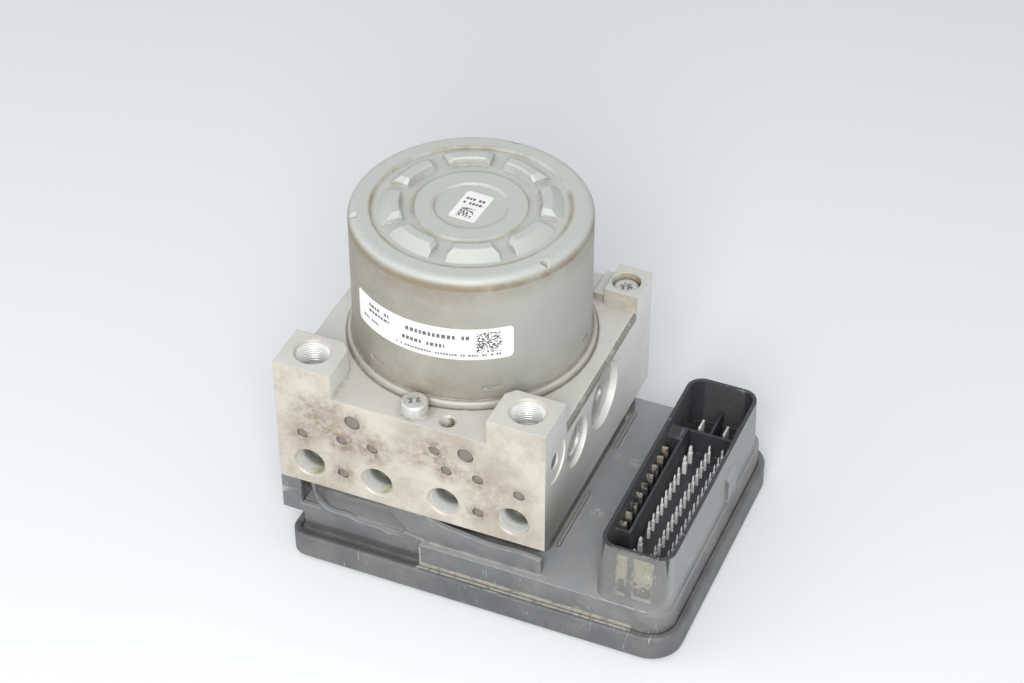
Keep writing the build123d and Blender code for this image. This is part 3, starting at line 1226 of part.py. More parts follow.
def save(shape, name):
    """Moves a sub-part into the part's frame and writes it."""
    shift = Pos(-COVER_RIGHT / 2, -(COVER_BACK_Y - COVER_FRONT) / 2, UNIT_HEIGHT)
    export_step(shift * shape, f"parts/{name}.step")


def main():
    """Writes every sub-part."""
    os.makedirs("parts", exist_ok=True)
    for maker in (
        valve_block, passage_plugs, motor_can, upper_bushing, shaft_bearing, motor_shaft, eccentric_ring,
        armature_core, armature_winding, commutator, brush_holder, ecu_housing, ecu_cover, cover_seal,
        block_seal, circuit_board, signal_pins, power_blades, control_unit_screws,
    ):
        save(maker(), maker.__name__)
    for index in range(MAGNET_COUNT):
        save(magnet(index), f"magnet_{index + 1}")
    for name, side in SIDES.items():
        for maker in (
            brush, motor_contact, pump_sleeve, pump_piston, pump_spring, pump_cap,
            accumulator_piston, accumulator_seal, accumulator_spring, accumulator_cap,
        ):
            save(maker(side), f"{maker.__name__}_{name}")
    for name, (x, y) in valve_places().items():
        row, number = name.split("_")
        save(valve(x, y), f"{row}_valve_{number}")
        save(coil(x, y), f"{row}_coil_{number}")


main()
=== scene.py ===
"""Finish, springs, threads, labels and studio for the anti-lock brake unit, laid out as an add-on."""

import json
import math

import bmesh
import bpy
import numpy as np
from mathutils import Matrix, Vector


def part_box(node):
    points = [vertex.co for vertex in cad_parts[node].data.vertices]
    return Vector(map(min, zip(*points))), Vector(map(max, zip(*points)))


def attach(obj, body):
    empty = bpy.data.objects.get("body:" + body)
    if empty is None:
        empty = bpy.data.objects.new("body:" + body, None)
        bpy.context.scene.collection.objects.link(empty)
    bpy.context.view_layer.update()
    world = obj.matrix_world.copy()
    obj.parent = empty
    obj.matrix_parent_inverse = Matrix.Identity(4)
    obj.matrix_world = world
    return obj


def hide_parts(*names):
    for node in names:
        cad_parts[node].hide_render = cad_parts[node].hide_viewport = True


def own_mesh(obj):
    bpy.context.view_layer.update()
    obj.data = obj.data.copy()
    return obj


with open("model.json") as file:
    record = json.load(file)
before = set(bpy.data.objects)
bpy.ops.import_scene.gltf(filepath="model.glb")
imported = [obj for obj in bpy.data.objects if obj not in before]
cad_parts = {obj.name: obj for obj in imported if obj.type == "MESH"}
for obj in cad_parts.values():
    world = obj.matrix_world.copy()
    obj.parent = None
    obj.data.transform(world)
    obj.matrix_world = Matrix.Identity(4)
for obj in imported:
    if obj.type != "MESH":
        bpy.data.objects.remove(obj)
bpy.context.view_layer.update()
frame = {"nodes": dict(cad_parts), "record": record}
NODES = frame["nodes"]

bl_info = {
    "name": "Brake unit finish",
    "version": (1, 0, 0),
    "blender": (4, 5, 0),
    "location": "3D View > Sidebar > Brake unit",
    "description": "Finishes a brake unit: metals, plastics, springs, threads, labels, dirt and a studio",
    "category": "Object",
}

MM = 0.001
TURN = 2 * math.pi

BLOCK_LOW, BLOCK_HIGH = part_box("valve_block")
CAN_LOW, CAN_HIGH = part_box("motor_can")
BUSHING_LOW, BUSHING_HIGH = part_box("upper_bushing")
SHAFT = (BUSHING_LOW + BUSHING_HIGH) / 2
CAN_RADIUS = 41.8 * MM
CAN_TOP_FLOOR = CAN_HIGH.z - 3.2 * MM
FRONT_PORTS = tuple(f"front_port_{number}" for number in range(1, 5))


def mount(name):
    """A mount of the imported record: (place, axis, radius, length), in metres."""
    found = next(m for m in frame["record"]["mounts"] if m["name"] == name)
    dims = found["dims"]
    return Vector(found["pos_m"]), Vector(found["axis"]), dims["r_mm"] * MM, dims["length_mm"] * MM


# ---- Sizes and colours


def colour_setting(name, description, default):
    """A colour that a user may change."""
    return bpy.props.FloatVectorProperty(name=name, description=description, subtype="COLOR", size=3,
                                         default=default)


def angle_setting(name, description, degrees):
    """An angle that a user may change."""
    return bpy.props.FloatProperty(name=name, description=description, subtype="ANGLE",
                                   default=math.radians(degrees))


def length_setting(name, description, millimetres):
    """A length that a user may change."""
    return bpy.props.FloatProperty(name=name, description=description, subtype="DISTANCE", unit="LENGTH",
                                   default=millimetres * MM)


class BrakeFinish(bpy.types.PropertyGroup):
    """Colours and amounts of dirt and of worn edges, which also carry a painted highlight."""

    block: colour_setting("Block", "Bare aluminium of the valve block", (0.525, 0.487, 0.412))
    block_stain: colour_setting("Block stain", "Brown grime that has dried on the block", (0.31, 0.245, 0.18))
    zinc: colour_setting("Zinc", "Dull plating of the motor's can", (0.335, 0.315, 0.265))
    zinc_dirt: colour_setting("Can dirt", "Road dirt on the motor's can", (0.27, 0.225, 0.15))
    plastic: colour_setting("Plastic", "Dusty moulding of the control unit", (0.15, 0.155, 0.162))
    plastic_inside: colour_setting("Plastic inside", "Clean moulding in the connector", (0.038, 0.04, 0.045))
    dust: colour_setting("Dust", "Dry tan dust in corners and on ledges", (0.56, 0.5, 0.4))
    # Near-white pins that stand in for their glints: a painted highlight
    pins: colour_setting("Pins", "Tin plating of the connector's pins", (0.97, 0.975, 0.98))
    paper: colour_setting("Label paper", "White of the labels", (0.88, 0.87, 0.845))
    ink: colour_setting("Label ink", "Faded black of the labels' marks", (0.15, 0.15, 0.15))
    residue: colour_setting("Port residue", "Yellow film left by old fluid in two ports", (0.46, 0.49, 0.2))
    floor: colour_setting("Floor", "Pale sheet that the unit stands on", (0.87, 0.885, 0.9))
    # Brightness of the worn edges, which is partly a painted highlight
    edge_wear_and_highlight: bpy.props.FloatProperty(
        name="Wear", description="How bright the worn edges are",
        min=0.0, max=1.0, default=0.6, subtype="FACTOR")


class BrakeLabels(bpy.types.PropertyGroup):
    """Places and sizes of the two labels."""

    side_start: angle_setting("Side label start", "Angle of its left end about the motor's axis", -131.0)
    side_end: angle_setting("Side label end", "Angle of its right end about the motor's axis", -47.0)
    side_low: length_setting("Side label bottom", "Height of its lower edge above the can's foot", 20.1)
    side_height: length_setting("Side label height", "Height of the side label", 13.0)
    top_length: length_setting("Top label length", "Long side of the label on top of the can", 15.8)
    top_width: length_setting("Top label width", "Short side of the label on top of the can", 9.9)
    thickness: length_setting("Label thickness", "Thickness of the label film", 0.1)


class BrakeThread(bpy.types.PropertyGroup):
    """The fine thread of the pipe ports."""

    pitch: length_setting("Pitch", "Distance from one thread crest to the next", 1.0)
    depth: length_setting("Depth", "Height of the thread's ridge over its root", 0.3)


class BrakeStudio(bpy.types.PropertyGroup):
    """Camera and light."""

    azimuth: angle_setting("Camera azimuth", "Turn about the vertical, from straight in front", 22.96)
    elevation: angle_setting("Camera elevation", "Height above the horizon, as an angle", 39.6)
    lens: bpy.props.FloatProperty(
        name="Lens", description="Focal length on a 36 mm sensor, in millimetres",
        default=87.74)
    place: bpy.props.FloatVectorProperty(
        name="Camera place", description="Where the camera stands",
        subtype="TRANSLATION", unit="LENGTH", size=3, default=(0.25223, -0.61162, 0.62632))
    key: bpy.props.FloatProperty(
        name="Key light", description="Power of the large soft lamp above the camera, in watts",
        default=9.6, min=0.0)
    world: bpy.props.FloatProperty(
        name="Room light", description="Strength of the light from all round",
        default=0.62, min=0.0)


# ---- Mesh helpers


def new_object(name, data):
    """An object in the scene's collection."""
    made = bpy.data.objects.new(name, data)
    bpy.context.scene.collection.objects.link(made)
    return made


def surface(name, points, wrap_u=False, wrap_v=False, smooth=True):
    """A mesh from a grid of points, points[i, j] = (x, y, z): neighbours in the grid share a face."""
    rows, columns = points.shape[:2]
    numbers = np.arange(rows * columns).reshape(rows, columns)
    if wrap_u:
        numbers = np.vstack([numbers, numbers[:1]])
    if wrap_v:
        numbers = np.hstack([numbers, numbers[:, :1]])
    corners = np.stack([numbers[:-1, :-1], numbers[1:, :-1], numbers[1:, 1:], numbers[:-1, 1:]], axis=-1)
    return faces_mesh(name, points.reshape(-1, 3), corners.reshape(-1, 4), smooth)


def faces_mesh(name, points, faces, smooth=False):
    """A linked mesh object from arrays of points and four-cornered faces."""
    mesh = bpy.data.meshes.new(name)
    mesh.vertices.add(len(points))
    mesh.vertices.foreach_set("co", np.asarray(points, np.float32).ravel())
    mesh.loops.add(faces.size)
    mesh.loops.foreach_set("vertex_index", faces.astype(np.int32).ravel())
    mesh.polygons.add(len(faces))
    mesh.polygons.foreach_set("loop_start", np.arange(0, faces.size, faces.shape[1], dtype=np.int32))
    mesh.polygons.foreach_set("use_smooth", np.full(len(faces), smooth))
    mesh.update(calc_edges=True)
    mesh.validate()
    return new_object(name, mesh)


def slabs(name, boxes, bend):
    """Thin slabs: each box is (u0, u1, v0, v1, w0, w1) and bend turns arrays (u, v, w) into points."""
    boxes = np.asarray(boxes)
    u = boxes[:, [0, 1, 1, 0, 0, 1, 1, 0]]
    v = boxes[:, [2, 2, 3, 3, 2, 2, 3, 3]]
    w = boxes[:, [4, 4, 4, 4, 5, 5, 5, 5]]
    points = bend(u, v, w).reshape(-1, 3)
    sides = np.array([[3, 2, 1, 0], [4, 5, 6, 7], [0, 1, 5, 4], [1, 2, 6, 5], [2, 3, 7, 6], [3, 0, 4, 7]])
    faces = (np.arange(len(boxes))[:, None, None] * 8 + sides[None]).reshape(-1, 4)
    return faces_mesh(name, points, faces)


def place_piece(piece, body, material):
    """Gives a new piece its body and material."""
    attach(piece, body)
    piece.data.materials.clear()
    piece.data.materials.append(material)
    return piece


# ---- Node helpers


class Tree:
    """Short calls that add nodes to a material or a group."""

    def __init__(self, tree):
        self.tree = tree
        self.shader = None

    def node(self, kind, values=None, **settings):
        """Adds a node. values are for its sockets, and settings are its own properties."""
        made = self.tree.nodes.new(kind)
        for key, value in settings.items():
            setattr(made, key, value)
        return self.give(made, values or {})

    def give(self, made, values):
        """Sets a node's sockets: an output is linked to its socket, and any other value is written there."""
        for socket, value in values.items():
            if isinstance(value, bpy.types.NodeSocket):
                self.tree.links.new(value, made.inputs[socket])
            else:
                made.inputs[socket].default_value = value
        return made

    def math(self, operation, a, b=0.0, clamp=False):
        """A Math node's result."""
        return self.node("ShaderNodeMath", {0: a, 1: b}, operation=operation, use_clamp=clamp).outputs[0]

    def times(self, a, b):
        """Two values multiplied."""
        return self.math("MULTIPLY", a, b)

    def plus(self, a, b, clamp=False):
        """Two values added."""
        return self.math("ADD", a, b, clamp)

    def minus(self, a, b, clamp=False):
        """The second value taken from the first."""
        return self.math("SUBTRACT", a, b, clamp)

    def inverse(self, mask):
        """1 less a mask."""
        return self.minus(1.0, mask)

    def above(self, value, limit):
        """1 where a value is over a limit."""
        return self.math("GREATER_THAN", value, limit)

    def below(self, value, limit):
        """1 where a value is under a limit."""
        return self.math("LESS_THAN", value, limit)

    def most(self, *masks):
        """The strongest of some masks."""
        found = masks[0]
        for mask in masks[1:]:
            found = self.math("MAXIMUM", found, mask)
        return found

    def both(self, *masks):
        """Masks multiplied together."""
        found = masks[0]
        for mask in masks[1:]:
            found = self.times(found, mask)
        return found

    def within(self, value, low, high, soft=0.2):
        """1 between low and high, falling to 0 over soft at each end."""
        rise = self.ramp(value, low - soft, low + soft)
        return self.minus(rise, self.ramp(value, high - soft, high + soft), clamp=True)

    def over(self, colour, tint, *masks):
        """A tint laid over a colour where all the masks are strong."""
        return self.mix(self.both(*masks), colour, tint)

    def layers(self, colour, *tints):
        """Tints laid over a colour in turn, each given with its masks."""
        for tint, *masks in tints:
            colour = self.over(colour, tint, *masks)
        return colour

    def place(self):
        """A point's place on the part."""
        return self.node("ShaderNodeTexCoord").outputs["Object"]

    def vector(self, operation, a, b=(0.0, 0.0, 0.0)):
        """A Vector Math node's result, which is one number for a length, a distance or a product."""
        made = self.node("ShaderNodeVectorMath", {0: a, 1: b}, operation=operation)
        return made.outputs["Value" if operation in ("LENGTH", "DISTANCE", "DOT_PRODUCT") else "Vector"]

    def ramp(self, value, low, high, smooth=True):
        """0 below low, 1 above high, and between them a ramp."""
        kind = "SMOOTHSTEP" if smooth else "LINEAR"
        made = self.node("ShaderNodeMapRange", {"Value": value, "From Min": low, "From Max": high},
                         interpolation_type=kind)
        return made.outputs["Result"]

    def fall(self, value, low, high):
        """1 below low, 0 above high, and between them a ramp."""
        return self.inverse(self.ramp(value, low, high))

    def mix(self, amount, *colours):
        """Two colours mixed: each is an output, three numbers or the name of a tone."""
        values = {0: amount}
        for socket, colour in zip((6, 7), colours):
            if isinstance(colour, str):
                colour = TONES[colour]
            values[socket] = colour if isinstance(colour, bpy.types.NodeSocket) else (*colour, 1.0)
        return self.node("ShaderNodeMix", values, data_type="RGBA").outputs[2]

    def noise(self, coordinates, scale, detail=3.0, roughness=0.55, distortion=0.0):
        """Noise with features about 1 / scale metres wide."""
        made = self.node("ShaderNodeTexNoise", {"Vector": coordinates, "Scale": scale, "Detail": detail,
                                                "Roughness": roughness, "Distortion": distortion})
        return made.outputs["Fac"]


def node_group(title, **defaults):
    """Turns a function that adds nodes into one that gives their shader node group, which is made once."""
    def kind(vector):
        return "NodeSocketVector" if vector else "NodeSocketFloat"

    def wrap(build):
        def find():
            made = bpy.data.node_groups.get(title)
            if made:
                return made
            made = bpy.data.node_groups.new(title, "ShaderNodeTree")
            for name, default in defaults.items():
                socket = made.interface.new_socket(name, in_out="INPUT",
                                                   socket_type=kind(isinstance(default, tuple)))
                socket.default_value = default
            tree = Tree(made)
            results = build(tree, made.nodes.new("NodeGroupInput").outputs)
            for name, output in results.items():
                made.interface.new_socket(name, in_out="OUTPUT", socket_type=kind(output.type == "VECTOR"))
            tree.node("NodeGroupOutput", results)
            return made
        return find
    return wrap


@node_group("Worn and highlighted edges", Radius=0.0004, Scale=400.0)
def worn_and_highlighted_edges(tree, given):
    """Mask of the sharp outer edges: how far the rounded normal turns from the flat one, broken by noise. It
    marks worn edges and also lays a painted highlight along them.
    """
    rounded = tree.node("ShaderNodeBevel", {"Radius": given["Radius"]}, samples=6).outputs["Normal"]
    flat = tree.node("ShaderNodeNewGeometry").outputs["Normal"]
    edge = tree.inverse(tree.vector("DOT_PRODUCT", rounded, flat))
    chips = tree.noise(tree.place(), given["Scale"], 4.0, 0.6)
    mask = tree.times(edge, tree.ramp(chips, 0.35, 0.6))
    return {"Mask": tree.ramp(mask, 0.01, 0.16), "Normal": rounded}


@node_group("Settled dirt", Reach=0.003, Scale=220.0)
def settled_dirt(tree, given):
    """Mask of corners and hollows, where less open sky is seen, broken by noise."""
    sky = tree.node("ShaderNodeAmbientOcclusion", {"Distance": given["Reach"]}, samples=8)
    closed = tree.inverse(sky.outputs["AO"])
    patch = tree.noise(tree.place(), given["Scale"], 5.0, 0.65)
    return {"Mask": tree.times(tree.ramp(closed, 0.12, 0.6), tree.ramp(patch, 0.34, 0.62))}


@node_group("Blotches", Scale=40.0, Shift=(0.0, 0.0, 0.0))
def blotches(tree, given):
    """Soft uneven patches: noise at three widths, added together."""
    place = tree.vector("ADD", tree.place(), given["Shift"])
    broad = tree.noise(place, given["Scale"], 4.0, 0.6, 0.4)
    middle = tree.noise(place, tree.times(given["Scale"], 3.7), 4.0, 0.6, 0.2)
    fine = tree.noise(place, tree.times(given["Scale"], 17.0), 3.0, 0.7)
    mask = tree.plus(tree.times(broad, 0.55), tree.times(middle, 0.3))
    return {"Mask": tree.plus(mask, tree.times(fine, 0.15)), "Fine": fine}


@node_group("Hair scratches", Scale=60.0)
def hair_scratches(tree, given):
    """Thin random scratches: narrow bands of two stretched noises that cross."""
    masks = []
    for turn, squeeze in ((0.5, (60.0, 1800.0, 200.0)), (2.2, (1500.0, 70.0, 200.0))):
        turned = tree.node("ShaderNodeMapping", {"Vector": tree.place(), "Rotation": (0.15, 0.1, turn),
                                                 "Scale": squeeze}).outputs[0]
        masks.append(tree.ramp(tree.noise(turned, 1.0, 2.0, 0.5), 0.66, 0.72))
    area = tree.noise(tree.place(), given["Scale"], 2.0)
    return {"Mask": tree.times(tree.most(*masks), tree.ramp(area, 0.45, 0.65))}


def use(tree, made, **values):
    """Places a group in a tree, sets its inputs and gives its outputs."""
    titled = {key.title(): value for key, value in values.items()}
    return tree.node("ShaderNodeGroup", titled, node_tree=made).outputs


def new_material(name):
    """An empty material with one Principled shader: (material, tree helper that keeps the shader)."""
    made = bpy.data.materials.new(name)
    made.use_nodes = True
    made.node_tree.nodes.clear()
    tree = Tree(made.node_tree)
    tree.shader = tree.node("ShaderNodeBsdfPrincipled")
    tree.node("ShaderNodeOutputMaterial", {"Surface": tree.shader.outputs["BSDF"]})
    return made, tree


def bump(tree, height, strength, distance, **normal):
    """Links a Bump node's normal to the shader."""
    values = {"Height": height, "Strength": strength, "Distance": distance, **normal}
    tree.give(tree.shader, {"Normal": tree.node("ShaderNodeBump", values).outputs["Normal"]})


def parts_of(tree, which):
    """The X, Y and Z outputs of a point's place in mm, or of its surface normal."""
    if which == "place":
        source = tree.vector("MULTIPLY", tree.place(), (1 / MM,) * 3)
    else:
        source = tree.node("ShaderNodeNewGeometry").outputs["Normal"]
    return tree.node("ShaderNodeSeparateXYZ", {"Vector": source}).outputs


def shaft_radius(tree):
    """Distance of a point from the motor's upright axis, in mm."""
    moved = tree.vector("SUBTRACT", tree.place(), tuple(SHAFT))
    flat = tree.vector("MULTIPLY", moved, (1 / MM, 1 / MM, 0.0))
    return tree.vector("LENGTH", flat)


def scaled(colour, factor):
    """A colour times a factor."""
    return tuple(min(1.0, part * factor) for part in colour)


def coat(tree, colour, fine, rough, spread, metallic=0.0):
    """Links the shader's colour, and a roughness that the fine noise raises from rough by up to spread."""
    roughness = tree.plus(tree.times(fine, spread), rough)
    tree.give(tree.shader, {"Base Color": colour, "Roughness": roughness, "Metallic": metallic})


# ---- Materials


# Stained places on the block's front, in mm from its lower left corner: (across, up, reach, strength)
STAINS = (
    (9.5, 22.1, 7.0, 0.8), (29.0, 33.4, 8.0, 0.7), (24.6, 24.0, 8.5, 1.0), (36.2, 24.0, 10.0, 0.8),
    (24.6, 8.8, 6.0, 0.8), (59.5, 31.5, 9.0, 0.8), (71.0, 33.4, 6.5, 0.5), (63.8, 24.0, 8.0, 0.8),
    (75.4, 24.0, 8.0, 0.7), (75.4, 8.8, 6.5, 0.8), (90.5, 22.1, 5.0, 0.5), (17.0, 31.0, 15.0, 0.75),
    (52.0, 28.0, 11.0, 0.5), (80.0, 17.0, 16.0, 0.35),
)


# Places that the materials measure from, which they do in mm
LOW, HIGH = BLOCK_LOW / MM, BLOCK_HIGH / MM
SHELF = LOW.z + 41.4
CAN_FOOT, CAN_SHOULDER = CAN_LOW.z / MM, CAN_TOP_FLOOR / MM - 2.4
COVER_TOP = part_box("ecu_cover")[1].z / MM

# Tones of worn edges, dirt, and painted light and shade, that a user wouldn't change
TONES = {
    # Painted light on the block's top and right face, and painted shade low at the front of that face
    "lit top": (0.66, 0.655, 0.62),
    "lit side wall": (0.76, 0.78, 0.75),
    "shaded side": (0.125, 0.135, 0.12),
    "block edge": (0.8, 0.8, 0.78),
    "port shade": (0.085, 0.085, 0.06),
    "clean recess": (0.82, 0.82, 0.79),
    "shelf edge grime and shade": (0.19, 0.18, 0.145),
    "flange foot shadow": (0.17, 0.13, 0.085),
    # Painted light and shade on the can: lighter right side, top and flange, darker left side
    "lit can right": (0.45, 0.46, 0.43),
    "shaded can left": (0.23, 0.215, 0.175),
    "lit can top": (0.55, 0.57, 0.54),
    "lit can flange": (0.56, 0.55, 0.5),
    "ring dirt": (0.36, 0.32, 0.2),
    "can edge": (0.74, 0.74, 0.72),
    "recess_grime_and_shade": (0.095, 0.065, 0.042),
    "scratch": (0.52, 0.515, 0.49),
    "plastic edge": (0.42, 0.42, 0.42),
    "groove_shade": (0.055, 0.056, 0.058),
    "ledge dust": (0.5, 0.475, 0.42),
    "step dust": (0.52, 0.5, 0.43),
    "crest dust": (0.52, 0.505, 0.45),
    "scuff": (0.56, 0.55, 0.52),
    "painted sheen side": (0.3, 0.315, 0.32),
    "shaded shroud front": (0.115, 0.117, 0.116),
    "panel dirt": (0.3, 0.283, 0.225),
    "metal dirt": (0.2, 0.17, 0.13),
    "bright thread": (0.96, 0.96, 0.94),
    "dull thread": (0.84, 0.84, 0.81),
    "thread shade": (0.12, 0.12, 0.09),
    "old grease": (0.3, 0.25, 0.13),
}


@node_group("Plug stains")
def plug_stains(tree, _given):
    """Mask of the brown halos round the pressed plugs: the strongest of soft spots whose reach is wobbled."""
    place = tree.place()
    wobble = tree.plus(tree.noise(place, 130.0, 4.0, 0.65), 0.5)
    spots = []
    for across, up, reach, strength in STAINS:
        centre = (BLOCK_LOW.x + across * MM, BLOCK_LOW.y, BLOCK_LOW.z + up * MM)
        away = tree.times(tree.vector("DISTANCE", place, centre), wobble)
        spots.append(tree.times(tree.fall(away, reach * MM * 0.2, reach * MM), strength))
    return {"Mask": tree.most(*spots)}


@node_group("Port shade")
def port_shade_mask(tree, _given):
    """Mask of painted shade in the depths of the front ports: within a port's radius of its axis and past its
    first turns.
    """
    place = tree.place()
    spots = []
    for name in FRONT_PORTS:
        centre, axis, radius, length = mount(name)
        across = Vector([1.0 - abs(part) for part in axis])
        away = tree.vector("DISTANCE", tree.vector("MULTIPLY", place, tuple(across)), tuple(centre * across))
        deep = tree.vector("DOT_PRODUCT", tree.vector("SUBTRACT", place, tuple(centre)), tuple(-axis))
        near = tree.times(tree.below(away, radius + 0.1 * MM), tree.below(deep, 2 * length))
        spots.append(tree.times(near, tree.ramp(deep, -length * 0.05, length * 0.28)))
    return {"Mask": tree.most(*spots)}


def block_material(look):
    """Machined aluminium: beige and stained in front, with painted light making the top lighter and more
    neutral and the right face cooler and lighter, and painted shade darkening that face's lower front.
    """
    made, tree = new_material("block aluminium")
    patch = use(tree, blotches(), scale=26.0)
    speck = use(tree, blotches(), scale=150.0, shift=(0.3, 0.1, 0.7))
    grain = use(tree, blotches(), scale=420.0)
    edges = use(tree, worn_and_highlighted_edges(), radius=0.45 * MM, scale=500.0)
    dirt = use(tree, settled_dirt(), reach=4.0 * MM, scale=260.0)
    halo = use(tree, plug_stains())
    normal = parts_of(tree, "normal")
    place = parts_of(tree, "place")
    # Painted light and shade by facing: top and right faces lighter, the right face's lower front darker
    front = tree.ramp(tree.times(normal["Y"], -1.0), 0.5, 0.9)
    top = tree.ramp(normal["Z"], 0.6, 0.9)
    right = tree.ramp(normal["X"], 0.6, 0.9)
    shaded_low_front = tree.both(tree.fall(place["Z"], 34.0, 70.0), tree.fall(place["Y"], -50.0, 15.0))
    side = tree.mix(shaded_low_front, "lit side wall", "shaded side")
    stain = tree.both(halo["Mask"], front, tree.plus(tree.ramp(patch["Fine"], 0.3, 0.7), 0.35), 1.05)
    film = tree.both(tree.ramp(patch["Mask"], 0.45, 0.66), tree.plus(front, 0.3), 0.34)
    colour = tree.mix(tree.ramp(patch["Mask"], 0.36, 0.62), scaled(look.block, 1.2), look.block)
    colour = tree.layers(
        colour,
        ("lit top", top, 0.85),
        (side, right, 0.85),
        (look.block_stain, stain),
        (look.block_stain, film),
        (scaled(look.block_stain, 0.8), tree.ramp(speck["Fine"], 0.6, 0.69), 0.45),
        (look.block_stain, dirt["Mask"], 0.62),
        # Worn edges, lightened partly as a painted highlight
        ("block edge", edges["Mask"], look.edge_wear_and_highlight),
        # Painted shade deep in the front ports
        ("port shade", use(tree, port_shade_mask())["Mask"]),
    )
    colour = block_lines(tree, place, right, patch, colour)
    coat(tree, colour, patch["Fine"], 0.38, 0.22, metallic=0.25)
    bump(tree, grain["Fine"], 0.3, 0.1 * MM, Normal=edges["Normal"])
    return made


def block_lines(tree, place, right, patch, colour):
    """Grime and painted shade on the shelf's right edge, painted shadow round the foot of the motor's flange,
    and clean walls in the side recesses.
    """
    x, y, z = place
    broken = tree.plus(tree.ramp(patch["Mask"], 0.4, 0.58), 0.45, clamp=True)
    recess = tree.both(tree.inverse(right), tree.above(x, HIGH.x - 2.8),
                       tree.above(y, LOW.y + 4.0), tree.below(z, SHELF - 2.0), 0.85)
    # A dark line along the shelf's right edge: grime and painted shade
    edge = tree.both(tree.within(z, SHELF - 3.4, SHELF + 0.6, 0.4), tree.above(x, HIGH.x - 0.9),
                     tree.within(y, LOW.y + 19.0, HIGH.y - 16.0, 1.0), broken, 0.85)
    # Painted shadow round the foot of the motor's flange
    ring = tree.both(tree.within(shaft_radius(tree), 43.4, 44.5, 0.3),
                     tree.within(z, SHELF - 0.5, SHELF + 0.5), broken, 0.8)
    return tree.layers(colour, ("clean recess", recess), ("shelf edge grime and shade", edge), ("flange foot shadow", ring))


# Dirty rings on top of the can, in mm: (radius, strength)
TOP_RINGS = ((34.0, 0.85), (20.0, 0.6), (12.9, 0.35))


def can_material(look):
    """Dull zinc with a brown tide of dirt under the shoulder and tan dirt in the rings on top; painted light
    makes the right side, the top and the flange lighter, and painted shade the left side darker.
    """
    made, tree = new_material("zinc can")
    patch = use(tree, blotches(), scale=34.0, shift=(0.2, 0.5, 0.1))
    speck = use(tree, blotches(), scale=220.0)
    dirt = use(tree, settled_dirt(), reach=3.5 * MM, scale=180.0)
    edges = use(tree, worn_and_highlighted_edges(), radius=0.6 * MM, scale=380.0)
    height = parts_of(tree, "place")["Z"]
    facing = parts_of(tree, "normal")["X"]

    def rise(base, low, high):
        """0 below base + low and 1 above base + high."""
        return tree.ramp(height, base + low, base + high)

    fading, line = rise(CAN_SHOULDER, -9.0, -1.5), rise(CAN_SHOULDER, -1.6, -1.0)
    tide = tree.plus(tree.times(fading, 0.45), tree.times(line, 0.75))
    tide = tree.both(tide, tree.inverse(rise(CAN_SHOULDER, -0.6, 2.6)),
                     tree.plus(tree.ramp(patch["Mask"], 0.4, 0.6), 0.45), 0.75)
    top = rise(CAN_SHOULDER, 0.2, 2.6)
    foot = tree.inverse(rise(CAN_FOOT, 3.0, 18.0))
    flange = tree.inverse(rise(CAN_FOOT, 2.2, 3.0))
    colour = tree.mix(tree.ramp(patch["Mask"], 0.34, 0.64), scaled(look.zinc, 1.25), look.zinc)
    colour = tree.layers(
        colour,
        # Painted light on the right side, top and flange, painted shade on the left side
        ("lit can right", tree.ramp(facing, 0.1, 0.8), 0.65),
        ("shaded can left", tree.fall(facing, -0.8, 0.0), 0.35),
        ("lit can top", top, 0.9),
        (look.zinc_dirt, foot, tree.ramp(patch["Mask"], 0.36, 0.6), 0.4),
        (look.zinc_dirt, tide),
        ("lit can flange", flange, 0.7),
        (look.zinc_dirt, tree.ramp(speck["Mask"], 0.6, 0.68), 0.4),
    )
    radius = shaft_radius(tree)
    broken = tree.ramp(patch["Mask"], 0.4, 0.58)
    for ring, strength in TOP_RINGS:
        away = tree.math("ABSOLUTE", tree.minus(radius, ring))
        near = tree.fall(away, 0.2, 1.5)
        colour = tree.over(colour, "ring dirt", near, top, broken, strength)
    colour = tree.layers(colour, (look.zinc_dirt, dirt["Mask"], 0.7), ("can edge", edges["Mask"], look.edge_wear_and_highlight))
    coat(tree, colour, patch["Fine"], 0.5, 0.2, metallic=0.3)
    bump(tree, speck["Fine"], 0.2, 0.1 * MM, Normal=edges["Normal"])
    return made


def plastic_material(look, name, dusty, tone=1.0, housing=False):
    """Glass-filled moulding with scuffs, worn edges that also carry a painted highlight, tan dust in its
    corners and painted shade left of the skirt's step; the housing has more painted light and shade.
    """
    made, tree = new_material(name)
    patch = use(tree, blotches(), scale=30.0, shift=(0.4, 0.2, 0.6))
    grain = use(tree, blotches(), scale=900.0)
    scratch = use(tree, hair_scratches(), scale=55.0)
    dirt = use(tree, settled_dirt(), reach=3.5 * MM, scale=150.0)
    edges = use(tree, worn_and_highlighted_edges(), radius=0.5 * MM, scale=420.0)
    place = parts_of(tree, "place")
    light = scaled(look.plastic, tone)
    colour = tree.mix(tree.ramp(patch["Mask"], 0.35, 0.65), scaled(light, 0.76), light)
    film = tree.times(tree.ramp(patch["Mask"], 0.42, 0.7), 0.16 * dusty)
    corner = tree.both(dirt["Mask"], tree.fall(place["X"], 66.0, 67.5), 0.4 * dusty)
    worn = tree.times(edges["Mask"], 0.5 * look.edge_wear_and_highlight)
    if housing:
        colour, outside = housing_colour(tree, look, patch, place, colour)
        film = tree.both(film, outside)
        corner = tree.both(corner, tree.plus(tree.times(outside, 0.8), 0.2))
        worn = tree.both(worn, tree.plus(tree.times(outside, 0.85), 0.15))
    colour = tree.layers(
        colour,
        (look.dust, film),
        ("scratch", scratch["Mask"], 0.6),
        (look.dust, corner),
        ("plastic edge", worn),
    )
    colour = front_marks(tree, place, patch, edges["Mask"], colour)
    coat(tree, colour, patch["Fine"], 0.4, 0.25)
    bump(tree, grain["Fine"], 0.12, 0.05 * MM, Normal=edges["Normal"])
    return made


# Where the skirt steps forward, across, and just behind the cover's front face, in mm
STEP = LOW.x + 54.0
RIM = -53.4


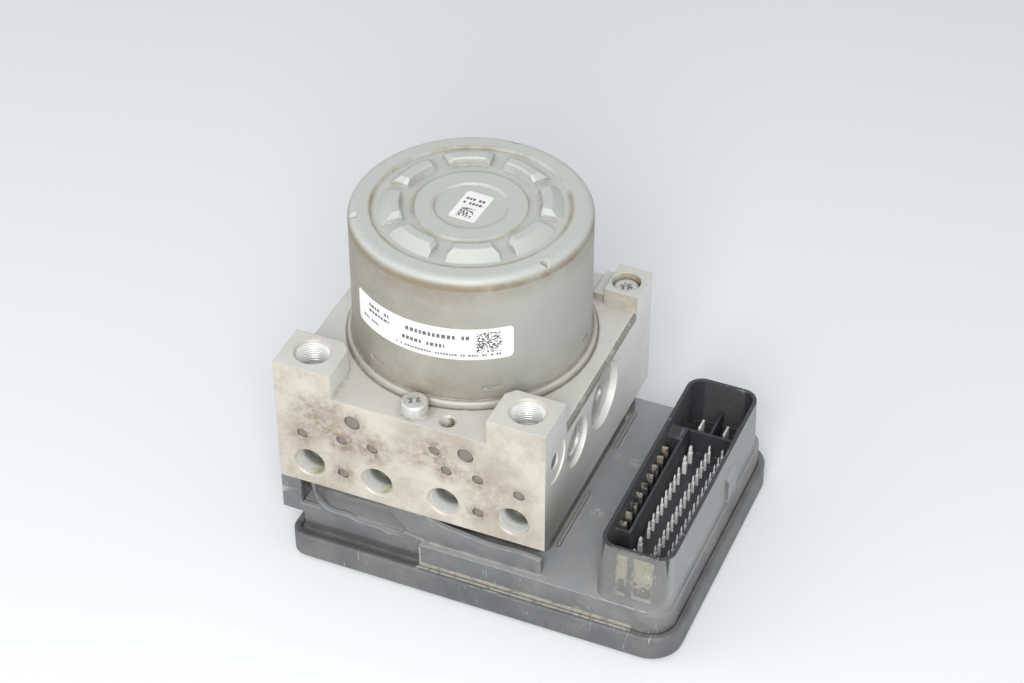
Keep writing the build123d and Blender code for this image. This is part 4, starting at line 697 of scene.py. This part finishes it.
def front_marks(tree, place, patch, edges, colour):
    """Painted shade in the hollow left of the skirt's step, and pale dust on the edges round and right of it.
    """
    x, y, z = place
    ahead = tree.below(y, LOW.y + 0.6)
    left = tree.fall(x, STEP - 1.2, STEP - 0.4)
    broken = tree.plus(tree.ramp(patch["Fine"], 0.36, 0.58), 0.3, clamp=True)
    # Painted shade along the hollow between the cover's lip and the skirt
    groove_shade = tree.both(ahead, left, tree.ramp(y, RIM, RIM + 0.8), tree.within(z, 6.0, 12.6, 0.8), 0.6)
    ledge = tree.both(ahead, tree.within(x, STEP, 58.5, 0.3),
                      tree.ramp(y, RIM + 0.2, RIM + 1.0),
                      tree.within(z, COVER_TOP - 1.0, COVER_TOP + 0.9, 0.3), broken, 0.9)
    step = tree.both(ahead, tree.within(x, STEP - 0.4, STEP + 0.5), tree.within(z, 10.5, 18.5), broken, 0.8)
    crest = tree.both(ahead, edges, tree.ramp(z, 14.0, 15.0), 0.8)
    return tree.layers(colour, ("groove_shade", groove_shade), ("ledge dust", ledge), ("step dust", step),
                       ("crest dust", crest))


# Pale scuffs on the housing's deck, in mm: (place, reach)
SCUFFS = (
    ((34.0, 18.3, 19.5), 3.6), ((30.3, -11.5, 19.5), 4.0),
    ((26.4, 18.8, 19.5), 2.6), ((38.5, -3.0, 19.5), 2.2),
)
# Hollow of the connector, in mm: (low, high) across, along and up
HOLLOW = ((45.6, 69.3), (-46.6, 44.9), (23.2, 42.1))
# Recesses in the shroud's front that hold tan dirt, in mm across
DIRTY_PANELS = ((51.9, 55.5), (57.7, 64.7))


def housing_colour(tree, look, patch, place, colour):
    """The housing's tones, painted light and shade among them: (colour, mask of what lies outside the
    connector).
    """
    x, y, z = place
    (inner, _), (front, _), (_, rim_height) = HOLLOW
    fine = patch["Fine"]
    spot = tree.place()
    normal = parts_of(tree, "normal")
    # Deep brown in the recess under the block's front left: brown grime and painted shade
    recess_grime_and_shade = tree.both(tree.within(x, LOW.x + 15.0, LOW.x + 44.0, 4.0),
                     tree.ramp(z, LOW.z - 8.0, LOW.z - 3.0), tree.below(y, LOW.y + 12.0),
                     tree.plus(tree.ramp(patch["Mask"], 0.42, 0.58), 0.35, clamp=True), 0.85)
    # Upward faces lighter: partly a dust film, partly painted light
    dusty_lit_top = tree.both(tree.ramp(z, 10.0, 12.0), tree.ramp(normal["Z"], -0.2, 0.9), 0.95)
    colour = tree.layers(colour, ("recess_grime_and_shade", recess_grime_and_shade), (scaled(look.plastic, 2.1), dusty_lit_top))
    rag = tree.plus(tree.noise(spot, 420.0, 4.0, 0.7), 0.35)
    for centre, reach in SCUFFS:
        away = tree.vector("DISTANCE", spot, [part * MM for part in centre])
        scuff = tree.fall(tree.times(away, rag), reach * MM * 0.2, reach * MM * 0.8)
        colour = tree.over(colour, "scuff", scuff, tree.ramp(fine, 0.44, 0.58), 0.7)
    # Painted sheen lightens the shroud's right faces, and painted shade darkens its front faces
    shroud = tree.both(tree.ramp(x, inner - 4.0, inner - 1.0), tree.ramp(z, 20.0, 26.0))
    colour = tree.over(colour, "painted sheen side", shroud, tree.ramp(normal["X"], 0.2, 0.8), 0.9)
    ahead = tree.ramp(tree.times(normal["Y"], -1.0), 0.3, 0.8)
    colour = tree.over(colour, "shaded shroud front", shroud, ahead, 0.8)
    torn = tree.above(z, tree.plus(tree.times(fine, 24.0), 16.5))
    held = tree.plus(tree.ramp(fine, 0.35, 0.55), 0.7, clamp=True)
    for left, right in DIRTY_PANELS:
        panel = tree.both(tree.within(x, left, right), torn, tree.below(y, front - 0.3),
                          tree.below(z, 40.3), held, 0.9)
        colour = tree.over(colour, "panel dirt", panel)
    hollow = tree.both(*[tree.within(part, low, high) for part, (low, high) in zip(place, HOLLOW)])
    black = tree.most(hollow, tree.both(shroud, tree.above(z, rim_height)))
    colour = tree.over(colour, look.plastic_inside, black)
    proud = tree.plus(tree.below(normal["X"], 0.6), tree.above(x, inner + 1.6), clamp=True)
    ribs = tree.both(hollow, proud, tree.within(x, inner, inner + 2.8), tree.within(y, -31.0, 15.0),
                     tree.ramp(z, 31.0, 36.2), tree.ramp(fine, 0.4, 0.55), 0.8)
    return tree.over(colour, scaled(look.dust, 0.8), ribs), tree.inverse(black)


def metal_material(name, colour, roughness, dirt_amount=0.3, metallic=1.0):
    """A turned or drawn metal with a little uneven tone and dirt in its corners."""
    made, tree = new_material(name)
    patch = use(tree, blotches(), scale=160.0, shift=(0.7, 0.3, 0.2))
    dirt = use(tree, settled_dirt(), reach=1.5 * MM, scale=500.0)
    mixed = tree.mix(tree.ramp(patch["Mask"], 0.38, 0.62), colour, scaled(colour, 0.78))
    mixed = tree.over(mixed, "metal dirt", dirt["Mask"], dirt_amount)
    coat(tree, mixed, patch["Fine"], roughness, 0.16, metallic)
    bump(tree, patch["Fine"], 0.12, 0.06 * MM)
    return made


def plain_material(name, colour, roughness):
    """A moulded, coated or pressed part with a fine grain."""
    made, tree = new_material(name)
    patch = use(tree, blotches(), scale=120.0)
    mixed = tree.mix(tree.ramp(patch["Mask"], 0.36, 0.64), colour, scaled(colour, 0.75))
    coat(tree, mixed, patch["Fine"], roughness, 0.15)
    bump(tree, patch["Fine"], 0.15, 0.06 * MM)
    return made


# ---- Operators


# Metal parts: (starts of the nodes' names, material, colour, roughness), then dirt and metallic on some
METALS = (
    ("passage_plugs", "oxidised plugs", (0.29, 0.255, 0.215), 0.45, 0.5, 0.5),
    (("pump_cap", "accumulator_cap"), "turned caps", (0.6, 0.6, 0.57), 0.34, 0.4, 0.6),
    ("control_unit_screws", "zinc screws", (0.74, 0.74, 0.72), 0.36, 0.3, 0.6),
    ("upper_bushing", "sintered bronze", (0.55, 0.36, 0.19), 0.45),
    (("shaft_bearing", "motor_shaft", "eccentric_ring", "pump_piston", "pump_sleeve"),
     "ground steel", (0.66, 0.66, 0.66), 0.2),
    ("armature_core", "stacked sheet", (0.36, 0.36, 0.37), 0.45),
    ("armature_winding", "enamelled wire", (0.62, 0.25, 0.09), 0.3),
    ("commutator", "copper bars", (0.8, 0.42, 0.25), 0.3),
    (("pump_spring", "accumulator_spring"), "spring wire", (0.5, 0.5, 0.5), 0.3),
    ("accumulator_piston", "turned piston", (0.7, 0.7, 0.69), 0.3),
    (("inlet_valve", "outlet_valve"), "valve steel", (0.6, 0.6, 0.59), 0.3),
)
# Moulded, pressed and coated parts: (starts of the nodes' names, material, colour, roughness)
PLAIN_PARTS = (
    ("magnet", "sintered magnet", (0.05, 0.05, 0.055), 0.55),
    (("brush_left", "brush_right"), "pressed carbon", (0.035, 0.035, 0.035), 0.6),
    ("brush_holder", "brush holder plastic", (0.1, 0.085, 0.06), 0.5),
    (("accumulator_seal", "cover_seal", "block_seal"), "black rubber", (0.02, 0.02, 0.02), 0.65),
    ("circuit_board", "board lacquer", (0.03, 0.16, 0.08), 0.35),
    (("inlet_coil", "outlet_coil"), "coil plastic", (0.05, 0.05, 0.055), 0.5),
)


def set_material(starts, material):
    """One material on every CAD node whose name starts with one of these words."""
    for name in NODES:
        if name.startswith(starts):
            mesh = NODES[name].data
            mesh.materials.clear()
            mesh.materials.append(material)


class BRAKE_OT_finish(bpy.types.Operator):
    """Gives every carried-over part its finish"""

    bl_idname = "brake.finish"
    bl_label = "Finish the parts"

    def execute(self, context):
        look = context.scene.brake_finish
        set_material("valve_block", block_material(look))
        set_material("motor_can", can_material(look))
        set_material("ecu_housing", plastic_material(look, "housing plastic", 1.0, housing=True))
        set_material("ecu_cover", plastic_material(look, "cover plastic", 0.6, tone=0.86))
        # Pins near-white and barely metallic: a painted glint
        set_material(("signal_pins", "power_blades", "motor_contact"),
                     metal_material("tinned pins with painted glint", look.pins, 0.25, dirt_amount=0.0, metallic=0.1))
        for starts, *values in METALS:
            set_material(starts, metal_material(*values))
        for starts, *values in PLAIN_PARTS:
            set_material(starts, plain_material(*values))
        return {"FINISHED"}


# A ridge's height before it is cut flat at 1, and the slope of its flanks over a pitch
CREST, FLANK = 1.25, 2.6


def thread_points(radius, depth, pitch, length, steps_per_turn=48, steps_per_pitch=8):
    """Inner thread: at turn t and height h the wall is in by depth times a rounded saw of h / pitch - t."""
    turn = np.linspace(0.0, 1.0, steps_per_turn, endpoint=False)[:, None]
    rise = np.linspace(0.0, length, int(length / pitch * steps_per_pitch) + 1)[None, :]
    phase = (rise / pitch - turn) % 1.0
    ridge = np.clip(CREST - np.abs(phase - 0.5) * FLANK, 0.0, 1.0)
    fade = np.clip(np.minimum(rise, length - rise) / pitch, 0.0, 1.0)
    reach = radius - depth * ridge * fade
    angle = turn * TURN
    height = np.broadcast_to(rise, reach.shape)
    return np.stack([reach * np.cos(angle), reach * np.sin(angle), height], axis=-1)


def along(points, start, axis):
    """Turns points so that their z runs along axis from start."""
    turn = np.array(axis.to_track_quat("Z", "Y").to_matrix())
    return points @ turn.T + np.array(start)


def thread_material(name, film):
    """Bright cut metal with a film on one side of some, and painted shade where the wall faces down or back
    and deep in the front ports.
    """
    made, tree = new_material(name)
    patch = use(tree, blotches(), scale=160.0, shift=(0.7, 0.3, 0.2))
    normal = parts_of(tree, "normal")
    colour = tree.mix(tree.ramp(patch["Mask"], 0.38, 0.62), "bright thread", "dull thread")
    if film:
        side = tree.minus(tree.times(normal["Z"], -0.5), normal["X"])
        wet = tree.plus(tree.ramp(patch["Mask"], 0.4, 0.6), 0.6)
        colour = tree.over(colour, film, tree.ramp(side, -0.75, 0.25), wet, 0.9)
    # Painted shade on walls that face down or back, and deep in the front ports
    back = tree.times(tree.minus(normal["Z"], normal["Y"]), 0.95)
    shaded_walls = tree.fall(tree.plus(back, tree.times(normal["X"], 0.25)), -0.55, 0.35)
    deep = tree.times(use(tree, port_shade_mask())["Mask"], 0.9)
    colour = tree.over(colour, "thread shade", tree.most(shaded_walls, deep), 0.88)
    coat(tree, colour, patch["Fine"], 0.24, 0.16, metallic=0.3)
    return made


# How much of the ridge the small ports have, and how far a thread stands in from its wall
SMALL_RIDGE = 0.55
THREAD_GAP = 0.015 * MM


class BRAKE_OT_threads(bpy.types.Operator):
    """Cuts the look of a fine thread into the pipe ports and the bracket's hole"""

    bl_idname = "brake.threads"
    bl_label = "Port threads"

    def execute(self, context):
        thread = context.scene.brake_thread
        clean = thread_material("cut thread", None)
        filmed = thread_material("filmed thread", context.scene.brake_finish.residue)
        old = thread_material("old thread", "old grease")
        finishes = {"front_port_1": filmed, "front_port_2": filmed, "bracket_hole": old}
        for name in (*FRONT_PORTS, "top_port_left", "top_port_right", "bracket_hole"):
            place, axis, radius, length = mount(name)
            depth = thread.depth if name.startswith("top") else thread.depth * SMALL_RIDGE
            points = thread_points(radius - THREAD_GAP, depth, thread.pitch, length)
            points = along(points, place - axis * length / 2, axis)[::-1]
            piece = surface(name + "_thread", points, wrap_u=True)
            place_piece(piece, "root", finishes.get(name, clean))
        return {"FINISHED"}


# Coil springs, made for each side: (name, stroke)
SPRINGS = (("accumulator", 8.0 * MM), ("pump", 2.4 * MM))


class BRAKE_OT_springs(bpy.types.Operator):
    """Gives each coil spring a merged copy of its surface in place of its node"""

    bl_idname = "brake.springs"
    bl_label = "Springs"

    def execute(self, context):
        for name, stroke in SPRINGS:
            for side in ("left", "right"):
                self.coils(f"{name}_spring_{side}", f"{name}_stroke_{side}", stroke)
        return {"FINISHED"}

    def coils(self, node, joint, stroke):
        """The node's own merged surface, on the root body in place of the node, which is hidden."""
        mesh = NODES[node].data.copy()
        merged = bmesh.new()
        merged.from_mesh(mesh)
        bmesh.ops.remove_doubles(merged, verts=merged.verts, dist=0.001 * MM)
        merged.to_mesh(mesh)
        merged.free()
        piece = new_object(node + "_coils", mesh)
        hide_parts(node)
        place_piece(piece, "root", NODES[node].data.materials[0])
        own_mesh(piece)


def around_can(foot, radius):
    """Bends (angle, height, depth) arrays round the can's wall."""
    def bend(u, v, w):
        reach = radius + w
        return np.stack([SHAFT.x + reach * np.cos(u), SHAFT.y + reach * np.sin(u), foot + v], axis=-1)
    return bend


def on_top(centre, turn):
    """Lays (along, across, depth) arrays flat, with along turned by turn from +Y."""
    c, s = math.cos(turn), math.sin(turn)

    def bend(u, v, w):
        return np.stack([centre[0] + v * c - u * s, centre[1] + v * s + u * c, centre[2] + w], axis=-1)
    return bend


def rounded_sheet(name, length, width, corner, thickness, bend, columns=60, turns=7, rows=9):
    """A thin sheet with round corners: its half width falls as a quarter circle at both ends."""
    side = np.concatenate([
        corner * (1 - np.cos(np.linspace(0, math.pi / 2, turns))),
        np.linspace(corner, length - corner, columns)[1:-1],
        length - corner * (1 - np.cos(np.linspace(math.pi / 2, 0, turns))),
    ])
    inset = np.minimum(side, length - side)
    dip = np.clip(corner - inset, 0.0, None)
    half = width / 2 - (corner - np.sqrt(np.clip(corner ** 2 - dip ** 2, 0.0, None)))
    across = np.linspace(-1.0, 1.0, rows)
    u = np.repeat(side[:, None], rows, axis=1)
    v = half[:, None] * across[None, :]
    top = bend(u, v, np.full_like(u, thickness))
    low = bend(u, v, np.full_like(u, thickness * 0.05))
    ring = np.concatenate([top, low[:, ::-1]], axis=1)
    return surface(name, ring, wrap_v=True, smooth=False)


# Chance that a bar is left out, and the gap between bars as a share of the shortest
BAR_MISSING, BAR_GAP = 0.14, 0.55


def mark_rows(seed, rows, *sizes):
    """Short plain bars in rows, as (u0, u1, v0, v1), of lengths from a seeded draw. Sizes are given in mm."""
    row_height, start, end, short, long = (size * MM for size in sizes)
    draw = np.random.default_rng(seed)
    found = []
    for middle in rows:
        at = start
        low, high = middle * MM - row_height / 2, middle * MM + row_height / 2
        while at < end:
            step = draw.uniform(short, long)
            if draw.random() > BAR_MISSING:
                found.append((at, min(at + step, end), low, high))
            at += step + short * BAR_GAP
    return found


def mark_grid(seed, left, low, side, cells):
    """A square of small filled and empty cells, as (u0, u1, v0, v1), drawn at random from a seed."""
    draw = np.random.default_rng(seed)
    size = side / cells
    filled = draw.random((cells, cells)) > 0.5
    return [(left + i * size, left + (i + 1) * size, low + j * size, low + (j + 1) * size)
            for i in range(cells) for j in range(cells) if filled[i, j]]


def paper_material(look):
    """White label film, a little yellowed and rubbed."""
    made, tree = new_material("label film")
    patch = use(tree, blotches(), scale=90.0)
    colour = tree.mix(tree.ramp(patch["Mask"], 0.4, 0.65), look.paper, scaled(look.paper, 0.93))
    coat(tree, colour, patch["Fine"], 0.55, 0.15)
    return made


# Rows of bars on the side label, in mm: (seed, middles, height, start, end, shortest, longest)
SIDE_ROWS = (
    (3, (3.6, 1.2), 1.15, 7.0, 17.0, 0.8, 1.5),
    (5, (-2.6,), 0.9, 3.5, 12.0, 0.6, 1.1),
    (7, (2.8,), 1.6, 24.0, 46.5, 0.9, 1.4),
    (9, (-1.3,), 1.5, 22.5, 38.0, 0.8, 1.3),
    (11, (-4.6,), 0.8, 20.0, 57.0, 0.5, 0.9),
)
# The two rows on the top label, which run across it
TOP_ROWS = (19, (9.4, 11.8), 1.2, -3.6, 3.6, 0.6, 1.1)
INK_THICKNESS = 0.02 * MM
TOP_LABEL_TURN = math.radians(-3.0)


class BRAKE_OT_labels(bpy.types.Operator):
    """Sticks the two plain labels on the can, with bars and cells in place of print"""

    bl_idname = "brake.labels"
    bl_label = "Labels"

    def execute(self, context):
        look = context.scene.brake_finish
        size = context.scene.brake_labels
        finishes = paper_material(look), plain_material("label ink", look.ink, 0.6)
        self.side_label(size, finishes)
        self.top_label(size, finishes)
        return {"FINISHED"}

    def side_label(self, size, finishes):
        """The long label round the can's wall."""
        length = (size.side_end - size.side_start) * CAN_RADIUS
        bend_wall = around_can(CAN_LOW.z + size.side_low + size.side_height / 2, CAN_RADIUS)

        def bend(u, v, w):
            return bend_wall(size.side_start + u / CAN_RADIUS, v, w)
        film = rounded_sheet("side_label", length, size.side_height, 1.6 * MM, size.thickness, bend)
        marks = [mark for row in SIDE_ROWS for mark in mark_rows(*row)]
        marks += mark_grid(13, length - 12.6 * MM, -3.4 * MM, 8.4 * MM, 20)
        self.stick(film, marks, size.thickness, bend, finishes)

    def top_label(self, size, finishes):
        """The small label in the middle of the can's top."""
        lay = on_top((SHAFT.x, SHAFT.y, CAN_TOP_FLOOR), TOP_LABEL_TURN)
        half = size.top_length / 2

        def bend(u, v, w):
            return lay(u - half, v, w)
        film = rounded_sheet("top_label", size.top_length, size.top_width, 1.1 * MM, size.thickness, bend, 20)
        marks = mark_grid(17, 1.6 * MM, -2.6 * MM, 5.2 * MM, 12)
        marks += [(v0, v1, u0, u1) for u0, u1, v0, v1 in mark_rows(*TOP_ROWS)]
        self.stick(film, marks, size.thickness, bend, finishes)

    def stick(self, film, marks, thickness, bend, finishes):
        """Gives a label's film its paper, and lays the marks on it as thin slabs of ink."""
        paper, ink = finishes
        place_piece(film, "root", paper)
        boxes = [(*mark, thickness, thickness + INK_THICKNESS) for mark in marks]
        place_piece(slabs(film.name + "_marks", boxes, bend), "root", ink)


# Soft square lamps: (name, place, side, share of the key light's power)
LAMPS = (
    ("key", (0.29, -0.88, 0.7), 0.55, 1.0),
    ("fill", (-0.75, -0.3, 0.55), 0.7, 0.14),
)
LAMP_TARGET = Vector((0.0, 0.0, 0.05))
HALF_FLOOR = 4.0
SENSOR_WIDTH = 36.0
CLIPPING = (0.01, 50.0)


class BRAKE_OT_stage(bpy.types.Operator):
    """Makes the floor, the light and the camera"""

    bl_idname = "brake.stage"
    bl_label = "Studio"

    def execute(self, context):
        scene = context.scene
        studio = scene.brake_studio
        self.floor(scene.brake_finish)
        self.room(scene, studio)
        for name, place, side, share in LAMPS:
            self.lamp(name, place, side, studio.key * share)
        self.camera(scene, studio)
        scene.view_settings.view_transform = "Standard"
        return {"FINISHED"}

    def floor(self, look):
        """A wide flat sheet, with painted shade making it a little darker towards the back left."""
        side = np.array([-HALF_FLOOR, HALF_FLOOR])
        corners = np.stack([*np.meshgrid(side, side, indexing="ij"), np.zeros((2, 2))], axis=-1)
        floor = surface("floor", corners)
        made, tree = new_material("pale sheet")
        place = parts_of(tree, "place")
        back = tree.minus(place["Y"], tree.times(place["X"], 0.7))
        painted_falloff = tree.ramp(back, -100.0, 900.0, smooth=False)
        colour = tree.mix(painted_falloff, look.floor, scaled(look.floor, 0.88))
        tree.give(tree.shader, {"Base Color": colour, "Roughness": 0.9, "Specular IOR Level": 0.1})
        floor.data.materials.append(made)

    def room(self, scene, studio):
        """Even light from all round, white where the camera sees it."""
        world = bpy.data.worlds.new("studio")
        scene.world = world
        world.use_nodes = True
        world.node_tree.nodes.clear()
        tree = Tree(world.node_tree)
        light = tree.node("ShaderNodeBackground", {"Color": (0.95, 0.97, 1.0, 1.0), "Strength": studio.world})
        seen = tree.node("ShaderNodeBackground", {"Color": (0.9, 0.92, 0.94, 1.0), "Strength": 1.0})
        path = tree.node("ShaderNodeLightPath").outputs
        shown = tree.most(path["Is Camera Ray"], path["Is Glossy Ray"], path["Is Transmission Ray"])
        mixed = tree.node("ShaderNodeMixShader", {0: shown, 1: light.outputs[0], 2: seen.outputs[0]})
        tree.node("ShaderNodeOutputWorld", {"Surface": mixed.outputs[0]})

    def lamp(self, name, place, side, power):
        """A square area lamp aimed at the unit."""
        data = bpy.data.lights.new(name, "AREA")
        data.energy = power
        data.size = side
        lamp = new_object(name, data)
        lamp.location = place
        lamp.rotation_euler = (LAMP_TARGET - Vector(place)).to_track_quat("-Z", "Y").to_euler()

    def camera(self, scene, studio):
        """A long lens looking down from the front right."""
        data = bpy.data.cameras.new("camera")
        data.lens = studio.lens
        data.sensor_width = SENSOR_WIDTH
        data.clip_start, data.clip_end = CLIPPING
        camera = new_object("camera", data)
        camera.location = studio.place
        camera.rotation_euler = (math.pi / 2 - studio.elevation, 0.0, studio.azimuth)
        scene.camera = camera


class BRAKE_PT_panel(bpy.types.Panel):
    """Sizes, colours and steps of the brake unit"""

    bl_label = "Brake unit"
    bl_idname = "BRAKE_PT_panel"
    bl_space_type = "VIEW_3D"
    bl_region_type = "UI"
    bl_category = "Brake unit"

    def draw(self, context):
        for step in STEPS:
            self.layout.operator(step.bl_idname)
        for group_name in ("brake_finish", "brake_labels", "brake_thread", "brake_studio"):
            box = self.layout.box()
            values = getattr(context.scene, group_name)
            for key in values.__annotations__:
                box.prop(values, key)


STEPS = (BRAKE_OT_finish, BRAKE_OT_springs, BRAKE_OT_threads, BRAKE_OT_labels, BRAKE_OT_stage)
GROUPS = {"brake_finish": BrakeFinish, "brake_labels": BrakeLabels, "brake_thread": BrakeThread,
          "brake_studio": BrakeStudio}


def register():
    """Adds the classes and the scene's settings."""
    for made in (*GROUPS.values(), *STEPS, BRAKE_PT_panel):
        bpy.utils.register_class(made)
    for name, made in GROUPS.items():
        setattr(bpy.types.Scene, name, bpy.props.PointerProperty(type=made))


def unregister():
    """Takes them away again."""
    for name in GROUPS:
        delattr(bpy.types.Scene, name)
    for made in (BRAKE_PT_panel, *reversed(STEPS), *GROUPS.values()):
        bpy.utils.unregister_class(made)


def main():
    """Runs every step."""
    register()
    for step in STEPS:
        area, name = step.bl_idname.split(".")
        getattr(getattr(bpy.ops, area), name)()


if __name__ == "__main__":
    main()
